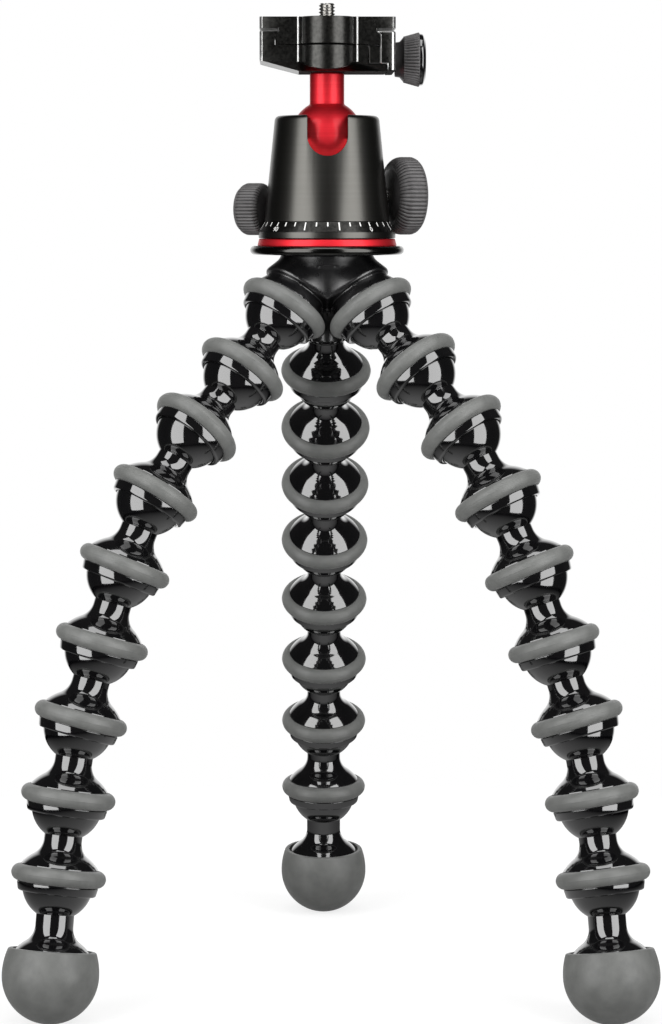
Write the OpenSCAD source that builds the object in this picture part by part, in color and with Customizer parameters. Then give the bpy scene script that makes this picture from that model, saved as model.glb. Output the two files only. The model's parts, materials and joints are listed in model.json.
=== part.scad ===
// Flexible three-leg tripod: jointed legs, ball head, quick-release clamp and plate.
// Millimetres. The origin is on the floor under the head axis, +Z up, the rear leg at +Y.

/* [Leg pose] */
// Tilt of each right-leg link from vertical, hub to foot
right_tilts = [43, 41, 30, 24.5, 19, 19, 13, 12.5, 11.5]; // [0:0.5:60]
// Tilt of the left-leg links after the first, which follows from the floor
left_lower_tilts = [45, 34, 23, 17, 17, 10.5, 11, 11]; // [0:0.5:60]
// Tilt of the rear-leg links after the first, which follows from the floor
rear_lower_tilts = [37, 35.5, 33, 27, 23.5, 18.5, 6, 4]; // [0:0.5:60]
// How far each right-leg link swings forward from its socket's own direction
right_turns = [2, 1, -3.5, -7, -5.5, 0, 10.5, 24, 38.5]; // [-20:0.5:45]
// How far each left-leg link swings forward from its socket's own direction
left_turns = [3, 4, -4.5, -12, -11.5, -4.5, 7.5, 22.5, 37]; // [-20:0.5:45]

/* [Leg link] */
// Distance between neighbouring ball centres
link_pitch = 30.1; // [28:0.1:34]
// Radius of each ball
ball_r = 13.4; // [12.6:0.1:13.8]
// Radius of the neck below the ball
neck_r = 7.2; // [6:0.1:8]
// Radius of the hollow between neck and shoulder
neck_fillet = 5; // [3:0.1:6]
// Radius of the domed shoulder
dome_r = 18.6; // [17.5:0.1:20]
// How far the centre of the dome lies below the middle of the grip ring
dome_drop = 7.9; // [7:0.1:9]
// Wall of the socket under the grip ring
bell_wall = 1.15; // [0.8:0.05:1.6]
// How far the collar stands out beyond the socket wall
collar_lip = 0.8; // [0.4:0.1:1.2]
// How far the socket mouth lies below the ball centre
mouth_drop = 3.4; // [2.8:0.1:4]
// Outer radius of the grip ring
ring_r = 18; // [17.5:0.1:19]
// Height of the grip ring
ring_h = 6.4; // [5.6:0.1:6.8]
// How far the middle of the grip ring lies above the ball centre
ring_rise = 3.4; // [3:0.1:4]

/* [Foot] */
// Distance from the last ball centre to the centre of the foot
foot_length = 34.2; // [33:0.1:38]
// Outer radius of the rubber foot
foot_r = 18.4; // [17:0.1:20]
// Wall of the rubber foot
boot_wall = 3.5; // [2.5:0.1:4]
// Height of the rubber rim above the centre of the foot
boot_rim_h = 8; // [6:0.1:8.4]
// How far the centre of the foot's domed shoulder lies below the centre of the foot
foot_dome_drop = 3; // [2:0.1:4]
// Radius of the side of the rubber foot above its widest place
boot_side_r = 27; // [22:0.5:40]
// Depth of the flat worn on the sole
sole_depth = 0.4; // [0.2:0.05:0.6]

/* [Hub] */
// Distance of each hub socket's ball centre from the head axis
socket_r = 21.4; // [21:0.1:24]
// Tilt of each hub socket from vertical
socket_tilt = 37; // [35:0.5:39]
// Height of the hub's top face above the socket centres
hub_rise = 23.4; // [22:0.1:26]
// Radius of the collar under the head
hub_collar_r = 17.5; // [15:0.1:19]
// Height of the collar under the head
hub_collar_h = 3.2; // [3:0.1:6]
// How far the shoulder above the grip ring stands out beyond the socket wall
shoulder_lip = 0.2; // [0.1:0.1:1]
// How far the side of that shoulder leans inwards
shoulder_lean = 1.6; // [1:0.1:3]
// Height of that shoulder
shoulder_h = 5.4; // [4:0.1:6]
// Radius where each lobe of the hub meets the middle
lobe_r = 11; // [9:0.1:12]
// Length of each lobe above its shoulder
lobe_h = 10; // [8:0.1:11]
// Radius of the web between the lobes at its lower edge
web_r = 14.6; // [13:0.1:16]
// Depth of the web's lower edge below the hub's top face
web_h = 15; // [13:0.1:17]
// Radius of the middle of the hub under the web
core_top_r = 9; // [7:0.1:11]
// Radius of the middle of the hub at its lower end
core_r = 6; // [5:0.1:7]
// Depth of the middle of the hub below its top face
core_h = 34; // [32:0.1:36]

/* [Pan base] */
// Radius of the base disc
base_r = 30; // [28:0.1:32]
// Thickness of the base disc
base_h = 3.4; // [3:0.1:5]
// Radius of the trim ring
trim_r = 27.2; // [26.8:0.1:28]
// Height of the trim ring
trim_h = 2.7; // [2:0.1:4]
// How far the side of the trim ring leans inwards
trim_lean = 0.7; // [0.2:0.1:1]
// Radius of the pan spindle
spindle_r = 10; // [9:0.1:11]
// Radius of the stud between hub and head, three eighths of an inch across
stud_r = 4.76; // [4:0.01:5]
// Length of the stud inside the hub
stud_depth = 14; // [10:0.5:16]
// Length of the stud inside the head
stud_reach = 9; // [6:0.5:9.5]
// Radius of the bearing washer
washer_r = 18.5; // [16:0.1:18.8]
// Radius of the brake drum on the spindle
drum_r = 13; // [12:0.1:13.4]
// Height of the brake drum
drum_h = 5; // [4:0.1:5.2]
// Radius of the thread that holds the drum
drum_thread_r = 6; // [5:0.1:7]

/* [Housing] */
// Outer radius of the housing at its lower end
housing_low_r = 24.4; // [24:0.1:26]
// Outer radius of the housing at its upper end
housing_top_r = 20.4; // [20:0.1:22]
// Height of the tapered housing
housing_h = 40.9; // [40:0.1:43]
// Radius of the rounded upper edge
housing_edge = 2; // [1:0.1:2.5]
// How far the lip at the foot of the scale ring stands out beyond the housing
scale_lip_w = 2.3; // [1.6:0.1:2.6]
// Height of that lip
scale_lip_h = 2.6; // [2:0.1:3.5]
// Height of the sloped band that carries the scale
scale_band_h = 3.9; // [3:0.1:5]
// Thickness of the scale ring at its upper edge
scale_wall = 2.4; // [1.8:0.1:3]
// Wall of the housing's skirt inside the scale ring
skirt_wall = 2.5; // [2:0.1:3]
// Thickness of the closing plug
plug_h = 7.1; // [6.5:0.1:7.5]
// Radius of the bore that the ball seat slides in
seat_bore_r = 15.6; // [15.2:0.1:16]

/* [Ball] */
// Radius of the head's ball
head_ball_r = 14; // [13:0.1:14.2]
// Depth of the ball centre below the top of the housing
ball_depth = 7.9; // [7.5:0.1:8.5]
// Radius of the stem
stem_r = 6.7; // [6:0.1:7.2]
// Length of the stem from the ball centre to the clamp
stem_length = 24.5; // [24:0.1:30]
// Half width of the notch that the stem drops into
notch_r = 7.85; // [7.5:0.05:8.2]
// Radius of the lower end of the ball seat
seat_foot_r = 7.5; // [6:0.1:8.5]
// Height of the tapered part of the ball seat
seat_taper_h = 13; // [12:0.1:14]
// Depth of the seat's rim below the ball centre
seat_rim_drop = 1.2; // [1:0.1:3]
// Depth of the seat below the ball centre
seat_depth = 25.7; // [25.4:0.1:26]

/* [Lock knobs] */
// Direction of the main lock knob round the head axis
main_turn = 20; // [10:1:40]
// Depth of the main lock knob below the ball centre
main_drop = 23; // [22.4:0.1:23.2]
// Radius of the main lock knob
main_r = 15.2; // [12:0.1:16]
// Length of the ribbed rim of the main lock knob
main_rim_h = 8; // [6:0.1:10]
// Radius of the main lock knob beside the housing
main_neck_r = 7.6; // [6:0.1:10]
// Radius of the flat end of the main lock knob
main_crown_r = 11.4; // [9:0.1:13]
// Ribs round the main lock knob
main_ribs = 56; // [40:1:64]
// Radius of the main lock screw
main_screw_r = 3; // [2.5:0.1:3.4]
// Radius of the lock plunger
plunger_r = 3.5; // [3.5:0.1:3.6]
// Radius of the tip of the lock plunger
plunger_tip_r = 0.9; // [0.5:0.1:1.5]
// Direction of the pan lock knob round the head axis
pan_turn = 155; // [140:1:165]
// Height of the pan lock knob above the underside of the brake drum
pan_rise = 4.2; // [3.6:0.1:4.6]
// Radius of the pan lock knob
pan_r = 10.2; // [9:0.1:12]
// Length of the ribbed rim of the pan lock knob
pan_rim_h = 7; // [5:0.1:9]
// Radius of the pan lock knob beside the housing
pan_neck_r = 5.1; // [4:0.1:7]
// Radius of the flat end of the pan lock knob
pan_crown_r = 7.7; // [6:0.1:9]
// Ribs round the pan lock knob
pan_ribs = 44; // [30:1:50]
// Radius of the pan lock screw and its brake shoe
pan_screw_r = 2.5; // [2:0.1:2.6]
// How far the back of both knobs lies outside the lower radius of the housing
knob_gap = 0.4; // [0.3:0.1:2]
// Length of the tapered back of both knobs
knob_back_h = 3.4; // [2:0.1:5]
// Height of the crowned end of both knobs
knob_crown_h = 1.6; // [1:0.1:3]
// Depth of the ribs
rib_depth = 0.5; // [0.3:0.05:0.8]
// Length of each screw inside its knob
screw_grip = 8; // [6:0.1:10]
// How far inside that radius the bores of plunger and screw meet
lock_wall = 5.4; // [4.4:0.1:5.8]
// Room behind the plunger and the shoe when they are loosened
lock_room = 1; // [0.9:0.1:1.4]

/* [Clamp] */
// Half width of the clamp and plate
clamp_half_w = 26; // [25:0.1:28]
// Half length of the clamp and plate
clamp_half_l = 21; // [19:0.1:24]
// Height from the underside of the clamp to the underside of the plate
clamp_h = 10.1; // [10:0.1:12]
// Height of the jaws above the underside of the plate
jaw_rise = 4.8; // [4.6:0.1:5.2]
// Radius of the round boss at the front and back
boss_r = 10.5; // [9:0.1:12]
// Distance of the boss centres from the head axis
boss_y = 17; // [15:0.1:19]
// Radius of the rounded underside of the lower bosses
boss_arc_r = 24; // [20:0.5:30]
// Height of the lowest line of those bosses above the underside of the clamp
boss_lift = 0.6; // [0:0.1:1]
// Height of the slope along the front and back lower edges
edge_slope_h = 3.4; // [2:0.1:4]
// Height of the sloped underside at the fixed jaw
jaw_slope_h = 4; // [2:0.1:5]
// Half width of the flat underside on the fixed side
flat_half_w = 11; // [10:0.1:14]
// Distance from the head axis to the recess beside the moving jaw
recess_x = 15.5; // [13:0.1:16]
// Thickness of the ledge under the moving jaw
ledge_h = 2.4; // [1.5:0.1:2.6]
// Distance from the head axis to the end of that ledge
ledge_half_w = 22.6; // [21:0.1:24]
// How far the moving jaw's tongue reaches into the recess
tongue_l = 4.4; // [2:0.1:4.5]
// Thickness of the tongue
tongue_h = 6.8; // [5:0.1:7]
// Half length of the tongue
tongue_half_l = 20; // [14:0.1:20.5]
// Radius of the two guide pins
pin_r = 1.2; // [1:0.1:1.4]
// Distance of the guide pins from the clamp screw
pin_y = 12; // [9:0.1:14]
// Length of the guide pins inside the clamp
pin_depth = 9; // [6:0.1:10]
// Radius of the clamp screw
clamp_screw_r = 2.5; // [2:0.1:2.8]
// Height of the clamp screw above the underside of the clamp
clamp_screw_z = 5.1; // [5:0.1:5.6]
// Length of the clamp screw inside the clamp
clamp_screw_depth = 9; // [6:0.1:10]
// Largest radius of the clamp knob
clamp_knob_r = 10.6; // [9:0.1:12]
// Radius of the clamp knob beside the jaw
clamp_knob_neck_r = 7.2; // [6:0.1:8]
// Length of the clamp knob's taper
clamp_taper_h = 4.6; // [3:0.1:6]
// Length of the clamp knob's ribbed rim
clamp_rim_h = 4.6; // [3:0.1:6]
// Ribs round the clamp knob
clamp_ribs = 48; // [36:1:56]
// Radius of the cap in the end of the clamp knob
cap_r = 8.6; // [7:0.1:9]
// Depth of the cap inside the clamp knob
cap_h = 1.8; // [1:0.1:3]
// Radius of the flat end of the cap
cap_flat_r = 6.8; // [5:0.1:7]
// Height of the cap's bevelled end
cap_bevel_h = 0.9; // [0.5:0.1:1.5]
// Radius of the screw that holds the clamp on the stem
platform_screw_r = 3; // [2.5:0.1:3.2]
// Radius of that screw's head
platform_head_r = 5; // [4.5:0.1:6]
// Height of that screw's head
platform_head_h = 3.3; // [2.5:0.1:4]
// Length of that screw inside the stem
platform_screw_depth = 11; // [8:0.1:12]

/* [Plate] */
// Height of the plate
plate_h = 10.4; // [10:0.1:12]
// Thickness of the plate's wide top
flange_h = 4.4; // [3.6:0.1:4.6]
// Half width of the plate between the jaws
dovetail_half_w = 20; // [19:0.1:20.6]
// How far each jaw's lip hooks over the plate
dovetail_lip = 1.4; // [1:0.1:1.8]
// Half width of the rubber pad
pad_half_w = 22; // [18:0.1:23]
// Half length of the rubber pad
pad_half_l = 17; // [14:0.1:18]
// Thickness of the rubber pad
pad_h = 1; // [0.8:0.1:1.5]
// How far the pad stands above the plate
pad_proud = 0.2; // [0.1:0.05:0.5]
// Radius of the hole in the pad
pad_hole_r = 5; // [4:0.1:7]

/* [Camera screw] */
// Radius of the screw, a quarter of an inch across
screw_r = 3.175; // [3.1:0.005:3.25]
// Length of the screw above the pad
screw_reach = 6; // [4.5:0.1:7]
// Radius of the relieved neck that keeps the screw captive in the plate
screw_neck_r = 2.6; // [2.4:0.05:2.7]
// Radius of the screw's head under the plate
screw_head_r = 8; // [6:0.1:9]
// Thickness of the screw's head
screw_head_h = 2.4; // [2:0.1:2.6]
// Width of the coin slot in the head
slot_w = 1.6; // [1.2:0.1:2]
// Depth of the coin slot
slot_depth = 1.2; // [0.8:0.1:1.4]

/* [Fits] */
// Gap between each leg ball and its socket
ball_gap = 0.15; // [0.1:0.01:0.2]
// Gap between a grip ring or rubber foot and what it grips
grip_fit = 0.05; // [0.02:0.01:0.1]
// Radial running gap of shafts and sliding pins
run_fit = 0.05; // [0.02:0.01:0.08]
// Gap between the panning parts and the fixed base
pan_gap = 0.1; // [0.05:0.01:0.2]
// Gap beside the dovetail, the jaws and the knobs
slide_gap = 0.3; // [0.2:0.05:0.4]
// Radial gap of fixed threads and pressed pieces
fixed_fit = 0.02; // [0.01:0.01:0.03]

/* [Hidden] */
SIDES = ["left", "right", "rear"];
AZIMUTHS = [210, 330, 90];
LINKS = len(right_tilts) - 1;
LEG_NODES = [for (side = SIDES) each concat(
    [for (k = [1 : LINKS]) str(side, "_leg_link_", k)],
    [str(side, "_foot_stem"), str(side, "_rubber_foot")])];
HEAD_NODES = ["hub", "hub_grip_rings", "head_stud", "pan_base", "trim_ring", "bearing_washer",
    "brake_drum", "head_housing", "scale_ring", "closing_plug", "ball_seat", "main_lock_knob",
    "main_lock_screw", "lock_plunger", "pan_lock_knob", "pan_lock_screw", "pan_brake_shoe",
    "ball_and_stem", "clamp_body", "platform_screw", "guide_pins", "clamp_jaw", "clamp_knob",
    "clamp_knob_cap", "clamp_screw", "quick_release_plate", "plate_pad", "camera_screw"];
$fn = 96;

// Leg chain: each link has its own tilt and its own heading round the head axis.
function total(v, i = 0) = i < len(v) ? v[i] + total(v, i + 1) : 0;
function reach(k) = k < LINKS ? link_pitch : foot_length;
right_drop = total([for (k = [0 : LINKS]) reach(k) * cos(right_tilts[k])]);
function lower_drop(tilts) = total([for (k = [1 : LINKS]) reach(k) * cos(tilts[k - 1])]);
function with_first(tilts) = concat([acos((right_drop - lower_drop(tilts)) / link_pitch)], tilts);
TILTS = [with_first(left_lower_tilts), right_tilts, with_first(rear_lower_tilts)];
TURNS = [left_turns, -right_turns, 0 * right_turns];
socket_z = foot_r - sole_depth + right_drop;

function tilt(leg, k) = TILTS[leg][k];
function heading(leg, k) = AZIMUTHS[leg] + TURNS[leg][k];
function lean(leg, k) = reach(k) * [sin(tilt(leg, k)) * cos(heading(leg, k)),
    sin(tilt(leg, k)) * sin(heading(leg, k)), -cos(tilt(leg, k))];
function socket_place(leg) = [socket_r * cos(AZIMUTHS[leg]), socket_r * sin(AZIMUTHS[leg]), socket_z];
function ball_place(leg, k) = k == 0 ? socket_place(leg) : ball_place(leg, k - 1) + lean(leg, k - 1);

// Socket values shared by the links and the hub.
socket_ball_r = ball_r + ball_gap;
seat_r = socket_ball_r + bell_wall;
collar_r = seat_r + collar_lip;
mouth_lip_r = seat_r + grip_fit;
shoulder_low_r = seat_r + shoulder_lip;
shoulder_r = shoulder_low_r - shoulder_lean;
ring_low = ring_rise - ring_h / 2 - grip_fit;
ring_high = ring_rise + ring_h / 2 + grip_fit;
ring_tube_r = ring_h / 2;
ring_mid_r = ring_r - ring_tube_r;

// Foot values.
boot_core_r = foot_r - boot_wall;

// Radii in the head.
scale_lip_r = housing_low_r + scale_lip_w;
skirt_r = housing_low_r - scale_wall;
plug_r = skirt_r - skirt_wall;
knob_start = housing_low_r + knob_gap;
lock_step = housing_low_r - lock_wall;

// Heights in the head, from the hub's top face.
hub_top = socket_z + hub_rise;
trim_top = base_h + trim_h;
pan_low = trim_top + pan_gap;
scale_low = pan_low + pan_gap;
housing_low = scale_low + scale_lip_h + scale_band_h;
housing_top = housing_low + housing_h;
plug_top = pan_low + plug_h;
drum_low = plug_top + pan_gap;
ball_z = housing_top - ball_depth;
main_z = ball_z - main_drop;
pan_z = drum_low + pan_rise;
clamp_low = ball_z + stem_length;
plate_low = clamp_low + clamp_h;
jaw_top = plate_low + jaw_rise;
plate_top = plate_low + plate_h;
clamp_screw_height = clamp_low + clamp_screw_z;

// Clamp and plate values.
jaw_face = dovetail_half_w + slide_gap;
clamp_knob_start = clamp_half_w + slide_gap;
lip_low = jaw_top - dovetail_lip;

// The half of an outline that is revolved: hub_top is larger than any of them.
module right_half() {
    intersection() {
        children();
        translate([0, -hub_top]) square([hub_top, 2 * hub_top]);
    }
}

// Places a piece that hangs down from ball k of a leg.
module at_ball(leg, k) {
    translate(ball_place(leg, k)) rotate([0, -tilt(leg, k), heading(leg, k)]) children();
}

// Places what surrounds the first ball of each leg in the hub.
module at_sockets() {
    for (leg = [0 : 2]) translate(socket_place(leg)) rotate([0, -socket_tilt, AZIMUTHS[leg]]) children();
}

module at_head() {
    translate([0, 0, hub_top]) children();
}

// Places a piece whose own +Z points outward from the head axis.
module at_lock(turn, height) {
    at_head() translate([0, 0, height]) rotate([0, 90, turn]) children();
}

// Places a piece whose own +Z points along +X, on the clamp screw.
module at_clamp_screw(side = 0) {
    at_head() translate([0, side, clamp_screw_height]) rotate([0, 90, 0]) children();
}

// Ball, neck and domed shoulder: the outline that links and foot stems share.
module ball_outline(dome_centre, low, width) {
    reach_r = dome_r + neck_fillet;
    hollow_x = neck_r + neck_fillet;
    hollow_rise = sqrt(reach_r * reach_r - hollow_x * hollow_x);
    hollow_z = hollow_rise - dome_centre;
    touch = dome_r / reach_r;
    circle(r = ball_r);
    translate([0, hollow_z - neck_fillet]) square([neck_r, neck_fillet - hollow_z]);
    difference() {
        polygon([[0, hollow_z], [hollow_x, hollow_z],
            [hollow_x * touch, hollow_rise * touch - dome_centre],
            [0, hollow_rise * touch - dome_centre]]);
        translate([hollow_x, hollow_z]) circle(r = neck_fillet);
    }
    intersection() {
        translate([0, -dome_centre]) circle(r = dome_r);
        translate([0, -low]) square([width, low]);
    }
}

// Collar of a socket whose ball centre is at the origin.
module collar_outline() {
    polygon([[0, ring_low], [collar_r, ring_low], [mouth_lip_r, -mouth_drop], [0, -mouth_drop]]);
}

module grip_ring() {
    color("dimgray") translate([0, 0, ring_rise]) rotate_extrude() intersection() {
        translate([ring_mid_r, 0]) circle(r = ring_tube_r);
        translate([seat_r + grip_fit, -ring_h]) square([ring_r, 2 * ring_h]);
    }
}

module leg_link(leg, k) {
    at_ball(leg, k - 1) {
        color("black") rotate_extrude() right_half() difference() {
            union() {
                ball_outline(link_pitch - ring_rise + dome_drop, link_pitch - ring_low, seat_r);
                translate([0, -link_pitch]) collar_outline();
            }
            translate([0, -link_pitch]) circle(r = socket_ball_r);
        }
        translate([0, 0, -link_pitch]) grip_ring();
    }
}

module foot_stem(leg) {
    at_ball(leg, LINKS) color("black") {
        rotate_extrude() right_half()
            ball_outline(foot_length + foot_dome_drop, foot_length, boot_core_r);
        translate([0, 0, -foot_length]) rotate_extrude() right_half() lower_half_disc(boot_core_r);
    }
}

module lower_half_disc(r) {
    intersection() {
        circle(r = r);
        translate([-r, -r]) square([2 * r, r]);
    }
}

module boot_outline() {
    intersection() {
        translate([foot_r - boot_side_r, 0]) circle(r = boot_side_r);
        square([foot_r, boot_rim_h]);
    }
    lower_half_disc(foot_r);
}

// Everything of a foot that would lie below the floor.
module below_floor(leg) {
    centre = ball_place(leg, LINKS + 1);
    translate([centre[0], centre[1], -foot_r]) cylinder(r = foot_r, h = foot_r);
}

module rubber_foot(leg) {
    color("dimgray") difference() {
        at_ball(leg, LINKS) translate([0, 0, -foot_length])
            rotate_extrude() right_half() difference() {
                boot_outline();
                circle(r = boot_core_r + grip_fit);
                square([boot_core_r + grip_fit, foot_r]);
            }
        below_floor(leg);
    }
}

module hub_lobe() {
    rotate_extrude() right_half() {
        translate([0, ring_low]) square([seat_r, ring_high - ring_low]);
        collar_outline();
        polygon([[0, ring_high], [shoulder_low_r, ring_high], [shoulder_r, ring_high + shoulder_h],
            [lobe_r, ring_high + shoulder_h + lobe_h], [0, ring_high + shoulder_h + lobe_h]]);
    }
}

module hub_ring_groove() {
    translate([0, 0, ring_low]) difference() {
        cylinder(r = ring_r + slide_gap, h = ring_high - ring_low);
        translate([0, 0, -ring_h]) cylinder(r = seat_r, h = 3 * ring_h);
    }
}

module hub() {
    color("black") difference() {
        union() {
            at_head() rotate_extrude() polygon([[0, 0], [hub_collar_r, 0], [hub_collar_r, -hub_collar_h],
                [web_r, -web_h], [core_top_r, -web_h], [core_r, -core_h], [0, -core_h]]);
            at_sockets() hub_lobe();
        }
        at_sockets() {
            sphere(r = socket_ball_r);
            hub_ring_groove();
        }
        at_head() translate([0, 0, -stud_depth]) cylinder(r = stud_r + fixed_fit, h = 2 * stud_depth);
        at_head() cylinder(r = base_r, h = hub_rise);
    }
}

module hub_grip_rings() {
    at_sockets() grip_ring();
}

module head_stud() {
    color("silver") at_head() translate([0, 0, -stud_depth])
        cylinder(r = stud_r, h = stud_depth + stud_reach);
}

module pan_base() {
    edge_r = base_h / 2;
    color("dimgray") at_head() difference() {
        rotate_extrude() right_half() {
            square([base_r - edge_r, base_h]);
            translate([base_r - edge_r, edge_r]) circle(r = edge_r);
            square([spindle_r, drum_low]);
            square([drum_thread_r, drum_low + drum_h]);
        }
        translate([0, 0, -base_h]) cylinder(r = stud_r + fixed_fit, h = base_h + stud_reach);
    }
}

module trim_ring() {
    color("red") at_head() translate([0, 0, base_h]) rotate_extrude()
        polygon([[washer_r + slide_gap, 0], [trim_r, 0], [trim_r - trim_lean, trim_h],
            [washer_r + slide_gap, trim_h]]);
}

module bearing_washer() {
    color("white") at_head() translate([0, 0, base_h]) difference() {
        cylinder(r = washer_r, h = trim_h);
        translate([0, 0, -trim_h]) cylinder(r = spindle_r + fixed_fit, h = 3 * trim_h);
    }
}

module brake_drum() {
    color("silver") at_head() translate([0, 0, drum_low]) difference() {
        cylinder(r = drum_r, h = drum_h);
        translate([0, 0, -drum_h]) cylinder(r = drum_thread_r + fixed_fit, h = 3 * drum_h);
    }
}

// The notch that lets the stem drop level, cut from the housing and the ball seat.
module stem_notch() {
    translate([0, 0, ball_z]) {
        rotate([90, 0, 0]) cylinder(r = notch_r, h = housing_low_r * 2);
        translate([-notch_r, -housing_low_r * 2, 0]) cube([2 * notch_r, housing_low_r * 2, housing_h]);
    }
}

module housing_outline() {
    square([skirt_r, housing_low + pan_low]);
    polygon([[0, housing_low], [housing_low_r, housing_low],
        [housing_top_r, housing_top - housing_edge], [0, housing_top - housing_edge]]);
    translate([0, housing_top - housing_edge]) square([housing_top_r - housing_edge, housing_edge]);
    intersection() {
        translate([housing_top_r - housing_edge, housing_top - housing_edge]) circle(r = housing_edge);
        translate([0, housing_top - housing_edge]) square([housing_top_r, housing_edge]);
    }
}

module head_housing() {
    color("#3c3b39") {
        difference() {
            at_head() difference() {
                rotate_extrude() right_half() intersection() {
                    housing_outline();
                    translate([0, pan_low]) square([base_r, housing_top]);
                }
                cylinder(r = plug_r + fixed_fit, h = plug_top);
                cylinder(r = seat_bore_r, h = ball_z);
                translate([0, 0, ball_z]) sphere(r = head_ball_r + ball_gap);
                stem_notch();
            }
            at_lock(main_turn, main_z) {
                cylinder(r = plunger_r + run_fit, h = lock_step);
                cylinder(r = main_screw_r + run_fit, h = 2 * housing_low_r);
            }
            at_lock(pan_turn, pan_z) cylinder(r = pan_screw_r + run_fit, h = 2 * housing_low_r);
        }
    }
}

module scale_ring() {
    bore_r = skirt_r + fixed_fit;
    scale_h = housing_low - scale_low;
    color("#1c1c1c") at_head() translate([0, 0, scale_low]) rotate_extrude()
        polygon([[bore_r, 0], [scale_lip_r, 0], [scale_lip_r, scale_lip_h],
            [housing_low_r, scale_h], [bore_r, scale_h]]);
}

module closing_plug() {
    color("gray") at_head() translate([0, 0, pan_low]) difference() {
        cylinder(r = plug_r, h = plug_h);
        translate([0, 0, -plug_h]) cylinder(r = spindle_r + run_fit, h = 3 * plug_h);
    }
}

module ball_seat() {
    low = ball_z - seat_depth;
    seat_outer_r = seat_bore_r - run_fit;
    color("ivory") at_head() difference() {
        rotate_extrude() polygon([[0, low], [seat_foot_r, low], [seat_outer_r, low + seat_taper_h],
            [seat_outer_r, ball_z - seat_rim_drop], [0, ball_z - seat_rim_drop]]);
        translate([0, 0, ball_z]) sphere(r = head_ball_r + ball_gap);
        stem_notch();
    }
}

module rib_outline(r, ribs) {
    polygon([for (i = [0 : 2 * ribs - 1]) let (a = 180 * i / ribs, d = i % 2 == 0 ? r : r - rib_depth)
        [d * cos(a), d * sin(a)]]);
}

// Knob with its back at the origin and its crown towards +Z.
module ribbed_knob(r, neck, back_h, rim_h, crown_h, crown_r, ribs) {
    cylinder(r1 = neck, r2 = r - 2 * rib_depth, h = back_h);
    translate([0, 0, back_h]) linear_extrude(rim_h) rib_outline(r, ribs);
    translate([0, 0, back_h + rim_h]) cylinder(r1 = r - 2 * rib_depth, r2 = crown_r, h = crown_h);
}

module lock_knob(r, neck, rim_h, crown_r, ribs, thread_r) {
    translate([0, 0, knob_start]) difference() {
        ribbed_knob(r, neck, knob_back_h, rim_h, knob_crown_h, crown_r, ribs);
        translate([0, 0, -knob_back_h]) cylinder(r = thread_r + fixed_fit, h = knob_back_h + screw_grip);
    }
}

module lock_screw(thread_r) {
    translate([0, 0, lock_step]) cylinder(r = thread_r, h = knob_start + screw_grip - lock_step);
}

module main_lock_knob() {
    color("#4a4748") at_lock(main_turn, main_z)
        lock_knob(main_r, main_neck_r, main_rim_h, main_crown_r, main_ribs, main_screw_r);
}

module main_lock_screw() {
    color("silver") at_lock(main_turn, main_z) lock_screw(main_screw_r);
}

// Cone-ended plunger that drives the tapered ball seat upwards.
module lock_plunger() {
    seat_outer_r = seat_bore_r - run_fit;
    slope = (seat_outer_r - seat_foot_r) / seat_taper_h;
    tip = seat_foot_r + slope * (seat_depth - main_drop + plunger_tip_r) + slide_gap + ball_gap;
    nose_h = slope * (plunger_r - plunger_tip_r);
    end = lock_step - lock_room;
    color("goldenrod") at_lock(main_turn, main_z) {
        translate([0, 0, tip]) cylinder(r1 = plunger_tip_r, r2 = plunger_r, h = nose_h);
        translate([0, 0, tip + nose_h]) cylinder(r = plunger_r, h = end - tip - nose_h);
    }
}

module pan_lock_knob() {
    color("#4a4748") at_lock(pan_turn, pan_z)
        lock_knob(pan_r, pan_neck_r, pan_rim_h, pan_crown_r, pan_ribs, pan_screw_r);
}

module pan_lock_screw() {
    color("silver") at_lock(pan_turn, pan_z) lock_screw(pan_screw_r);
}

module pan_brake_shoe() {
    tip = drum_r + slide_gap;
    color("goldenrod") at_lock(pan_turn, pan_z) translate([0, 0, tip])
        cylinder(r = pan_screw_r, h = lock_step - lock_room - tip);
}

module ball_and_stem() {
    color("crimson") at_head() difference() {
        union() {
            translate([0, 0, ball_z]) sphere(r = head_ball_r);
            translate([0, 0, ball_z]) cylinder(r = stem_r, h = stem_length - run_fit);
        }
        translate([0, 0, clamp_low - platform_screw_depth])
            cylinder(r = platform_screw_r + run_fit, h = 2 * platform_screw_depth);
    }
}

// Extrudes an outline drawn in X and Z over the length of the clamp.
module along_clamp(half_l) {
    at_head() translate([0, half_l, 0]) rotate([90, 0, 0]) linear_extrude(2 * half_l) children();
}

module round_bosses(low, high) {
    at_head() for (side = [-1, 1]) translate([0, side * boss_y, low]) cylinder(r = boss_r, h = high - low);
}

// What is cut away along the front or back lower edge of the clamp.
module lower_edge(side) {
    width = edge_slope_h * sqrt(2);
    at_head() translate([0, side * clamp_half_l, clamp_low]) rotate([45, 0, 0])
        cube([4 * clamp_half_w, width, width], center = true);
}

// Bosses below the plate, rounded underneath.
module lower_bosses(top) {
    intersection() {
        round_bosses(clamp_low, top);
        at_head() translate([0, 0, clamp_low + boss_lift + boss_arc_r]) rotate([90, 0, 0])
            cylinder(r = boss_arc_r, h = 4 * clamp_half_l, center = true);
    }
}

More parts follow.
